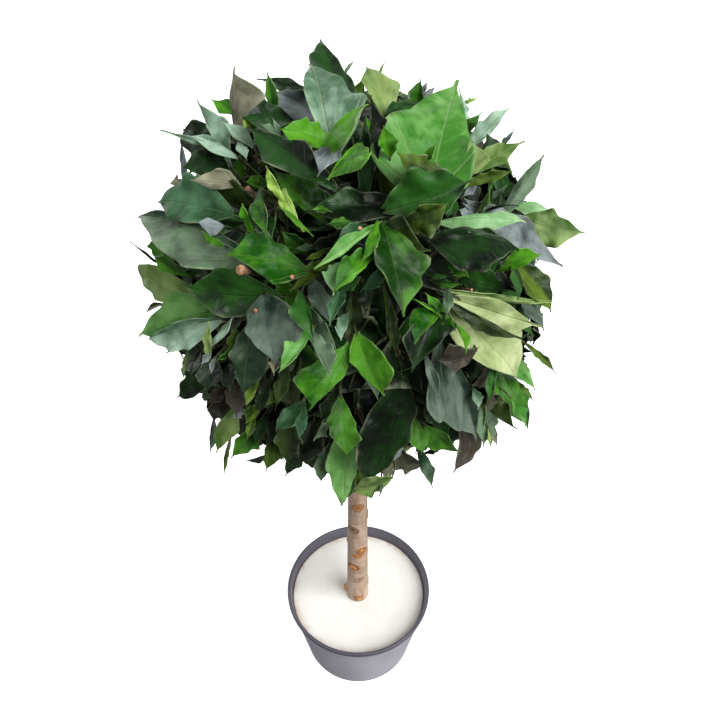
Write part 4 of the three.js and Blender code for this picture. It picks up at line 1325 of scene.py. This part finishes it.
def spot_form(spot, random, root, tip, facing):
    """A leaf's form with its two sides fitted to the pixels of its widest places."""
    aslant = max(facing @ unit(CAMERA_PLACE - root), 0.0)
    form = calmer_form(spot, draw_form(random), aslant)
    length = np.linalg.norm(tip - root)
    pointing = (tip - root) / length
    axes = np.array([0 * pointing, pointing, np.cross(pointing, facing), facing])
    pixels, _ = pixels_of((root + tip) / 2 + PROBE * axes)
    ahead, right, out = (pixels[1:] - pixels[0]) / PROBE
    for edge in (spot.edge, spot.other):
        offset = np.array(edge) - pixels[0]
        side = 1 if offset @ np.array([-ahead[1], ahead[0]]) > 0 else -1
        widest, half = 0.5, 0.0
        for _ in range(SPOT_FITS):
            bulge = form.bend * widest * (1 - widest) / 2
            matrix = np.stack([ahead, side * right + (form.fold - form.cup * half) * out], 1)
            along, half = np.linalg.solve(matrix, offset - bulge * length * out) / length
            widest, half = np.clip(0.5 + along, *SPOT_WIDEST), np.clip(half, *SPOT_HALF)
        names = ("right_widest", "right_half") if side > 0 else ("left_widest", "left_half")
        form = form._replace(**dict(zip(names, (widest, half))))
    return form


def add_spot_leaf(foliage, number, spot):
    """A leaf that the photograph shows plainly, with its own twig from the core."""
    random = seeded_random(SEED - 1 - number)
    root, tip = spot_ends(spot)
    facing = spot_facing(spot, number, random, root, tip)
    form = spot_form(spot, random, root, tip, facing)
    tint = spot.tint + SPOT_TINT_VARIES * (next(random) - 0.5)
    leaf = foliage.bring_forward(place_leaf(form, FINE_GRID, root, tip, facing, tint))
    foliage.add(leaf, spot.tone)
    foliage.keep_in_sight(leaf.upper[int(SPOT_SHOWN_FROM * FINE_GRID[0]):].reshape(-1, 3))
    start = leaf.upper[1, FINE_GRID[1] // 2]
    heel = start - HEEL_BACK * unit(tip - root) - HEEL_SUNK * unit(start - BALL_CENTRE)
    anchor = from_centre(unit(heel - BALL_CENTRE), CORE_RADIUS - TWIG_ROOT_DEPTH)
    add_stalk(foliage.stalks, anchor, heel, start, SPOT_TWIG_RADIUS)


def add_stalk(stalks, start, bend, end, radii):
    """A thin stalk on a smooth curve that leaves its start towards the bend."""
    share = np.linspace(0, 1, STALK_POINTS)[:, None]
    path = (1 - share) ** 2 * start + 2 * share * (1 - share) * bend + share ** 2 * end
    stalks.append(tube(path, between(radii, share[:, 0]), STALK_SIDES))


Sprig = namedtuple("Sprig", "random direction sides tip start tone")


def sideways(axis):
    """Two directions at right angles to an axis and to each other."""
    first = np.cross(Z_AXIS, axis)
    if np.linalg.norm(first) < LEAST_LEAN:
        first = X_AXIS
    first = unit(first)
    return first, unit(np.cross(axis, first))


def sprig_direction(index, random):
    """Evenly spread over the ball, a little out of step."""
    height = 1 - (2 * index + 1) / SPRIGS
    ring = math.sqrt(1 - height * height)
    turn = index * GOLDEN_ANGLE
    jitter = np.array([next(random) - 0.5 for _ in range(3)])
    return unit(np.array([ring * math.cos(turn), ring * math.sin(turn), height]) + 2 * SPRIG_JITTER * jitter)


def deal_tone(random, direction):
    """A tone by its share of the ball, darker, as painted shade, where the photograph's leaves lie before
    it.
    """
    names = list(TONES)
    # Sprays that face the viewer take the second shares, which favour dark tones as painted shade
    seen = direction @ unit(CAMERA_PLACE - BALL_CENTRE) > SEEN_FROM
    shares = np.cumsum([TONES[name].seen if seen else TONES[name].share for name in names])
    return names[int(np.searchsorted(shares, next(random) * shares[-1], side="right"))]


def make_sprig(index):
    """A sprig by the solid's rule, with a tone for its spray."""
    random = seeded_random(SEED + index)
    direction = sprig_direction(index, random)
    tip = CORE_RADIUS + between(SPRIG_LENGTH, next(random))
    start = 2 * math.pi * next(random)
    return Sprig(random, direction, sideways(direction), tip, start, deal_tone(random, direction))


def turned_out(axis, sides, turn, spread):
    """A direction that leans away from an axis."""
    outward = sides[0] * math.cos(turn) + sides[1] * math.sin(turn)
    return unit(axis * math.cos(spread) + outward * math.sin(spread))


def along_twig(sprig, share):
    """A place on a sprig's twig, between the core's surface and the twig's tip."""
    return from_centre(sprig.direction, between((CORE_RADIUS, sprig.tip), share))


def grow_leaf(foliage, sprig, base, axis, turn, spread, lengths, tone, grid=PLAIN_GRID):
    """One leaf on its stalk, turned on round its twig until it fits, or nothing where it never does."""
    sides = sideways(axis)
    random = sprig.random
    reach = between(LEAF_REACH, next(random))
    for attempt in range(LEAF_TRIES):
        lean = spread * between(LEAF_SPREAD_VARIES, next(random))
        pointing = turned_out(axis, sides, turn + attempt * TRY_TURN, lean)
        pointing = unit(pointing - Z_AXIS * LEAF_DROOP * next(random))
        length = between(lengths, next(random))
        heel = base + between(STALK_LENGTH, next(random)) * unit(axis + pointing)
        if np.linalg.norm(heel + length * pointing - BALL_CENTRE) > reach:
            continue
        form = draw_form(random)
        upper = unit(heel - BALL_CENTRE) + LEAF_FACES_UP * Z_AXIS
        leaf = place_leaf(form, grid, heel, heel + length * pointing, upper, next(random))
        samples = leaf_samples(leaf)
        if not leaf_fits(samples, reach) or past_limb(samples) or foliage.hides_spot(samples):
            continue
        if foliage.touches(samples, length):
            continue
        foliage.add(leaf, tone)
        radii = (STALK_RADIUS * STALK_FOOT, STALK_RADIUS)
        add_stalk(foliage.stalks, base, (base + heel) / 2, leaf.upper[1, grid[1] // 2], radii)
        return


def leaf_tone(sprig):
    """Leaves of a spray mostly share its tone."""
    own = deal_tone(sprig.random, sprig.direction)
    return sprig.tone if next(sprig.random) < SPRAY_KEEPS_TONE else own


def grow_lining(foliage, sprig, index):
    """Leaves of a twig that lie close over the core, in dark tones that stand as painted shade."""
    for step in range(LINING_LEAVES):
        share = step / LINING_LEAVES
        base = along_twig(sprig, LINING_REACH * share)
        turn = sprig.start + (step + LINING_STEP) * GOLDEN_ANGLE
        tone = LINING_SHADE_TONES[(index + step) % len(LINING_SHADE_TONES)]
        spread = between(LINING_SPREAD, share)
        grow_leaf(foliage, sprig, base, sprig.direction, turn, spread, LINING_LENGTH, tone, LINING_GRID)


def grow_sprig(foliage, index):
    """A twig with the leaves of the solid's rule, then finer side shoots with leaves of their own."""
    sprig = make_sprig(index)
    while sprig.tip > CORE_RADIUS and foliage.hides_spot(from_centre(sprig.direction, sprig.tip)[None]):
        sprig = sprig._replace(tip=sprig.tip - TWIG_SHORTENS)
    twig_root = from_centre(sprig.direction, CORE_RADIUS - TWIG_ROOT_DEPTH)
    path = straight(twig_root, from_centre(sprig.direction, sprig.tip), TWIG_POINTS)
    foliage.twigs.append(tube(path, np.linspace(*TWIG_RADIUS, TWIG_POINTS), TWIG_SIDES))
    for step in range(LEAVES_PER_SPRIG):
        share = between((LEAF_FIRST, LEAF_LAST), step / (LEAVES_PER_SPRIG - 1))
        base = along_twig(sprig, share)
        turn = sprig.start + step * GOLDEN_ANGLE
        spread = between(LEAF_SPREAD, share)
        grow_leaf(foliage, sprig, base, sprig.direction, turn, spread, LEAF_LENGTH, leaf_tone(sprig))
    for shoot in range(SHOOTS):
        grow_shoot(foliage, sprig, shoot)
    grow_lining(foliage, sprig, index)


def fill_round(foliage, index):
    """Small leaves in what room is left round a twig."""
    sprig = make_sprig(index)
    for step in range(FILLER_LEAVES):
        share = (step + 0.5) / FILLER_LEAVES
        base = along_twig(sprig, share)
        turn = sprig.start + (step + FILLER_STEP) * GOLDEN_ANGLE
        spread = between(FILLER_SPREAD, share)
        tone = leaf_tone(sprig)
        grow_leaf(foliage, sprig, base, sprig.direction, turn, spread, FILLER_LENGTH, tone, LINING_GRID)


def grow_shoot(foliage, sprig, number):
    """A side shoot of a twig, with its leaves round its tip."""
    base = along_twig(sprig, between((LEAF_FIRST, LEAF_LAST), (number + 0.5) / SHOOTS))
    turn = sprig.start + (LEAVES_PER_SPRIG + number) * GOLDEN_ANGLE
    heading = turned_out(sprig.direction, sprig.sides, turn, SHOOT_SPREAD)
    end = base + heading * between(SHOOT_LENGTH, next(sprig.random))
    path = straight(base, end, SHOOT_POINTS)
    if foliage.hides_spot(path):
        return
    foliage.twigs.append(tube(path, np.linspace(TWIG_RADIUS[1], STALK_RADIUS, SHOOT_POINTS), TWIG_SIDES))
    for step in range(SHOOT_LEAVES):
        leaf_turn = turn + step * GOLDEN_ANGLE
        tone = leaf_tone(sprig)
        grow_leaf(foliage, sprig, end, heading, leaf_turn, SHOOT_LEAF_SPREAD, SHOOT_LEAF_LENGTH, tone)


def add_cut_end(foliage, pixel, radius):
    """The pale cut end of a twig that stands out of the core."""
    end = on_ball(pixel, CUT_END_SHELL)
    _, depth = pixels_of(end[None])
    column, row = pixel
    rows = slice(row - CUT_END_PX, row + CUT_END_PX + 1)
    columns = slice(column - CUT_END_PX, column + CUT_END_PX + 1)
    before = min(depth[0], foliage.front[rows, columns].min() - radius / 2)
    end = CAMERA_PLACE + (end - CAMERA_PLACE) * before / depth[0]
    outward = unit(end - BALL_CENTRE)
    root = from_centre(outward, CORE_RADIUS - TWIG_ROOT_DEPTH)
    neck = end - CAP_DEPTH * outward * radius
    sides = 2 * TWIG_SIDES
    twig_radii = np.full(TWIG_POINTS, CUT_TWIG_SHARE * radius)
    foliage.twigs.append(tube(straight(root, neck, TWIG_POINTS), twig_radii, sides))
    cap = [neck, neck + CAP_SIDE * outward * radius, end]
    foliage.cut_ends.append(tube(cap, radius * CAP_RADII, sides))


def grow_ball():
    foliage = Foliage()
    for number, spot in sorted(enumerate(SPOTS), key=lambda pair: pair[1].layer):
        add_spot_leaf(foliage, number, spot)
    heights = np.arange(PLASTER_TOP, STEM_SHOWN_TOP, STEM_SIGHT_STEP)
    foliage.keep_in_sight(np.stack([0 * heights, -stem_radius(heights), heights], -1))
    for index in range(SPRIGS):
        grow_sprig(foliage, index)
    for index in range(SPRIGS):
        fill_round(foliage, index)
    for pixel, radius in CUT_ENDS:
        add_cut_end(foliage, pixel, radius)
    return foliage


def make_core():
    """The inside of the ball, rough like packed moss, near-black as painted shade among the inner leaves."""
    bpy.ops.mesh.primitive_ico_sphere_add(
        subdivisions=CORE_DETAIL, radius=CORE_RADIUS, location=BALL_CENTRE)
    core = bpy.context.object
    core.name = "ivy_core"
    bpy.ops.object.transform_apply(location=True)
    centre = Vector(BALL_CENTRE)
    for vertex in core.data.vertices:
        outward = (vertex.co - centre).normalized()
        vertex.co += outward * CORE_RELIEF * noise.fractal(vertex.co * CORE_RELIEF_SCALE, *FINE_FRACTAL)
    core.data.materials.append(core_material())
    core.data.polygons.foreach_set("use_smooth", np.ones(len(core.data.polygons), bool))
    settle(core, "ivy_ball")


def make_ball():
    foliage = grow_ball()
    leaf_sides = (leaf_material, leaf_under_material, leaf_margin_material)
    for name, leaves in sorted(foliage.by_tone.items()):
        materials = [side_material(name, TONES[name]) for side_material in leaf_sides]
        settle(join_leaves("ivy_leaves_" + name, leaves, materials), "ivy_ball")
    kinds = {
        "ivy_stalks": (foliage.stalks, stalk_material()),
        "ivy_twigs": (foliage.twigs, twig_material()),
        "ivy_cut_ends": (foliage.cut_ends, cut_wood_material("twig_wood", CUT_TWIG_TONES)),
    }
    for name, (parts, material) in kinds.items():
        settle(add_mesh(name, *joined(parts), [material]), "ivy_ball")
    make_core()


# Stem


def stem_radius(height):
    """A slow taper, a slight flare at the foot and a straight peg on top."""
    below = np.maximum((STEM_PEG_FROM - height) / (STEM_PEG_FROM - PLASTER_TOP), 0)
    flare = STEM_FLARE * np.exp(-(height - PLASTER_TOP) / STEM_FLARE_HEIGHT)
    return STEM_PEG_RADIUS + (STEM_FOOT_RADIUS - STEM_PEG_RADIUS) * below ** STEM_TAPER_POWER + flare


def stem_shift(height):
    return STEM_FOOT_SHIFT * (1 - smoothstep(height, PLASTER_TOP, STEM_PEG_FROM))


def scar_places(scar, height, bearing):
    """Distance from a scar's middle over the bark, in metres, and in shares of the scar's own size."""
    turn = bearing - math.radians(scar.bearing)
    across = np.arctan2(np.sin(turn), np.cos(turn)) * stem_radius(height)
    up = height - scar.height
    slant = math.radians(scar.slant)
    along = across * math.cos(slant) + up * math.sin(slant)
    over = up * math.cos(slant) - across * math.sin(slant)
    return np.hypot(across, up), np.hypot(along / scar.wide, over / scar.tall)


def bark_place(height, bearing, paces):
    """Where to read noise for a place on the bark, by a pace round the stem and one along it."""
    around, up = paces
    return Vector((around * math.cos(bearing), around * math.sin(bearing), up * height))


def bark_noise(heights, bearings):
    """Fine ridges along the stem and slow swellings, for each point."""
    places = list(zip(heights.ravel(), bearings.ravel()))
    ridges = [noise.fractal(bark_place(*place, RIDGE_PACES), *BARK_FRACTAL) for place in places]
    swells = [noise.noise(bark_place(*place, SWELL_PACES)) for place in places]
    return np.reshape(ridges, heights.shape), np.reshape(swells, heights.shape)


def make_stem():
    """Bark with its relief: ridges, swellings, and lipped scars with sunk middles."""
    levels = np.linspace(STEM_FOOT, STEM_TOP, round((STEM_TOP - STEM_FOOT) / STEM_STEP))
    heights, bearings = np.meshgrid(levels, round_turns(STEM_SIDES), indexing="ij")
    ridges, swells = bark_noise(heights, bearings)
    radii = stem_radius(heights) + BARK_RELIEF * ridges + BARK_SWELL * swells
    gold = np.zeros_like(heights)
    dark = np.zeros_like(heights)
    for scar in SCARS:
        away, share = scar_places(scar, heights, bearings)
        lip = bump_at(share, 1.0, LIP_WIDTH)
        middle = bump_at(share, 0.0, SCAR_MIDDLE)
        crease = CREASE_DARK * bump_at(share, CREASE_AT, CREASE_WIDTH)
        radii = radii + scar.rise * bump_at(away, 0.0, KNOT_SPREAD)
        radii = radii + LIP_RISE * lip - SCAR_SINK * scar.dark * middle
        gold = np.maximum(gold, scar.gold * (1 - smoothstep(share, *GOLD_FADES)))
        dark = np.maximum(dark, scar.dark * np.maximum(crease, middle))
    x = stem_shift(heights) + radii * np.cos(bearings)
    points = np.stack([x, radii * np.sin(bearings), heights], -1).reshape(-1, 3)
    faces = capped_faces(np.arange(len(points)).reshape(heights.shape))
    stem = add_mesh("stem_bark", points, faces, [bark_material()])
    add_values(stem, "gold", gold.ravel())
    add_values(stem, "dark", dark.ravel())
    settle(stem, "stem")


def make_stubs():
    """Short cut stubs of side shoots, each a little domed, rooted in the bark."""
    parts = []
    for stub in STUBS:
        bearing = math.radians(stub.bearing)
        outward = np.array([math.cos(bearing), math.sin(bearing), 0.0])
        height = np.array(stub.height)
        rise = max(scar.rise for scar in SCARS if abs(scar.height - stub.height) < STUB_NEAR_SCAR)
        bark = stem_radius(height) + STUB_ON_RISE * rise
        axis = np.array([float(stem_shift(height)), 0, stub.height])
        depths = np.append(-STUB_ROOT_DEPTH, stub.stands * STUB_STEPS)
        path = axis + np.outer(bark + depths, outward)
        parts.append(tube(path, stub.radius * STUB_RADII, STUB_SIDES))
    stubs = add_mesh("stem_cut_stubs", *joined(parts), [cut_wood_material("stub_wood", CUT_STUB_TONES)])
    settle(stubs, "stem")


# Pot and plaster


def arc(middle, radius, start, end):
    """Points of a round corner in a profile, from one angle in degrees to another."""
    angles = np.radians(np.linspace(start, end, ROUND_STEPS + 1))
    return [(middle[0] + radius * math.cos(a), middle[1] + radius * math.sin(a)) for a in angles]


def wall_radius(height):
    return between((POT_FOOT_RADIUS, POT_NECK_RADIUS), height / (POT_HEIGHT - RIM_DEPTH))


def make_pot():
    """Foot, tapered wall, overhanging rim, inside wall and floor, with round edges."""
    neck = POT_HEIGHT - RIM_DEPTH
    mouth = POT_HEIGHT - RIM_ROUND
    inner = wall_radius(mouth) - POT_WALL
    foot_middle = (wall_radius(POT_FOOT_ROUND) - POT_FOOT_ROUND, POT_FOOT_ROUND)
    wall_shares = np.linspace(POT_WALL_FROM, 1.0, POT_WALL_RINGS)
    inside_heights = np.linspace(mouth - POT_INSIDE_FROM, POT_FLOOR, POT_INSIDE_RINGS)
    profile = [(0, 0)]
    profile += arc(foot_middle, POT_FOOT_ROUND, -90, POT_FOOT_ENDS)
    profile += [(wall_radius(share * neck), share * neck) for share in wall_shares]
    profile += arc((RIM_RADIUS - RIM_ROUND, neck + RIM_ROUND), RIM_ROUND, -90, 0)
    profile += arc((RIM_RADIUS - RIM_ROUND, mouth), RIM_ROUND, 0, 90)
    profile += arc((inner + RIM_ROUND, mouth), RIM_ROUND, 90, 180)
    profile += [(wall_radius(h) - POT_WALL, h) for h in inside_heights]
    profile += [(0, POT_FLOOR)]
    points, faces = turned(profile, LATHE_SIDES)
    pot = add_mesh("pot_shell", points, faces, [pot_material()])
    outside = np.hypot(points[:, 0], points[:, 1]) > wall_radius(points[:, 2]) - POT_WALL / 2
    # Points on the outer wall below the rim, which take the paler painted bounce light
    add_values(pot, "side", (outside & (points[:, 2] < neck + TINY)).astype(float))
    settle(pot, "pot")


def make_plaster():
    """A cast disc that fills the pot, its top slightly uneven and stained at the wall."""
    shoulder = PLASTER_TOP - PLASTER_EDGE_ROUND
    edge = wall_radius(shoulder) - POT_WALL - PLASTER_GAP
    bottom = POT_FLOOR + PLASTER_GAP
    top_radii = np.linspace(edge - PLASTER_TOP_FROM, PLASTER_TOP_TO, PLASTER_RINGS)
    profile = [(0, bottom), (wall_radius(bottom) - POT_WALL - PLASTER_GAP, bottom)]
    profile += arc((edge - PLASTER_EDGE_ROUND, shoulder), PLASTER_EDGE_ROUND, 0, 90)
    profile += [(radius, PLASTER_TOP) for radius in top_radii]
    profile += [(0, PLASTER_TOP)]
    points, faces = turned(profile, LATHE_SIDES)
    radii = np.hypot(points[:, 0], points[:, 1])
    for i in np.flatnonzero(points[:, 2] > shoulder - TINY):
        rough = noise.fractal(Vector(points[i]) * PLASTER_RELIEF_SCALE, *FINE_FRACTAL)
        points[i, 2] += PLASTER_RELIEF * (rough - PLASTER_RELIEF_MIDDLE)
    plaster = add_mesh("plaster_cast", points, faces, [plaster_material()])
    add_values(plaster, "edge", smoothstep(radii, edge - PLASTER_STAIN_WIDTH, edge))
    settle(plaster, "plaster_fill")


# Floor, light and camera


def make_floor():
    corners = [(-FLOOR_HALF, -FLOOR_HALF, 0), (FLOOR_HALF, -FLOOR_HALF, 0),
               (FLOOR_HALF, FLOOR_HALF, 0), (-FLOOR_HALF, FLOOR_HALF, 0)]
    floor = add_mesh("floor", corners, [[0, 1, 2, 3]], [floor_material()])
    floor.visible_diffuse = False
    floor.visible_glossy = False


def add_sun(name, strength, spread, turn):
    sun = bpy.data.lights.new(name, "SUN")
    sun.energy = strength
    sun.angle = spread
    lamp = bpy.data.objects.new(name, sun)
    lamp.rotation_euler = turn
    bpy.context.scene.collection.objects.link(lamp)


def make_light():
    """A broad soft key from the right, a weaker light from the left, a low fill and an even world."""
    add_sun("key_light", KEY_STRENGTH, KEY_SPREAD, KEY_TURN)
    add_sun("side_light", SIDE_STRENGTH, SIDE_SPREAD, SIDE_TURN)
    add_sun("fill_light", FILL_STRENGTH, FILL_SPREAD, FILL_TURN)
    world = bpy.data.worlds.new("studio")
    world.use_nodes = True
    world.node_tree.nodes["Background"].inputs["Strength"].default_value = WORLD_STRENGTH
    world.node_tree.nodes["Background"].inputs["Color"].default_value = (1.0, 1.0, 1.0, 1.0)
    bpy.context.scene.world = world
    bpy.context.scene.view_settings.view_transform = "Standard"


def make_camera():
    data = bpy.data.cameras.new("camera")
    data.lens = LENS
    data.sensor_width = SENSOR
    camera = bpy.data.objects.new("camera", data)
    camera.location = CAMERA_PLACE
    camera.rotation_euler = (CAMERA_TILT, 0.0, 0.0)
    bpy.context.scene.collection.objects.link(camera)
    bpy.context.scene.camera = camera


make_camera()
make_pot()
make_plaster()
make_stem()
make_stubs()
make_ball()
make_floor()
make_light()
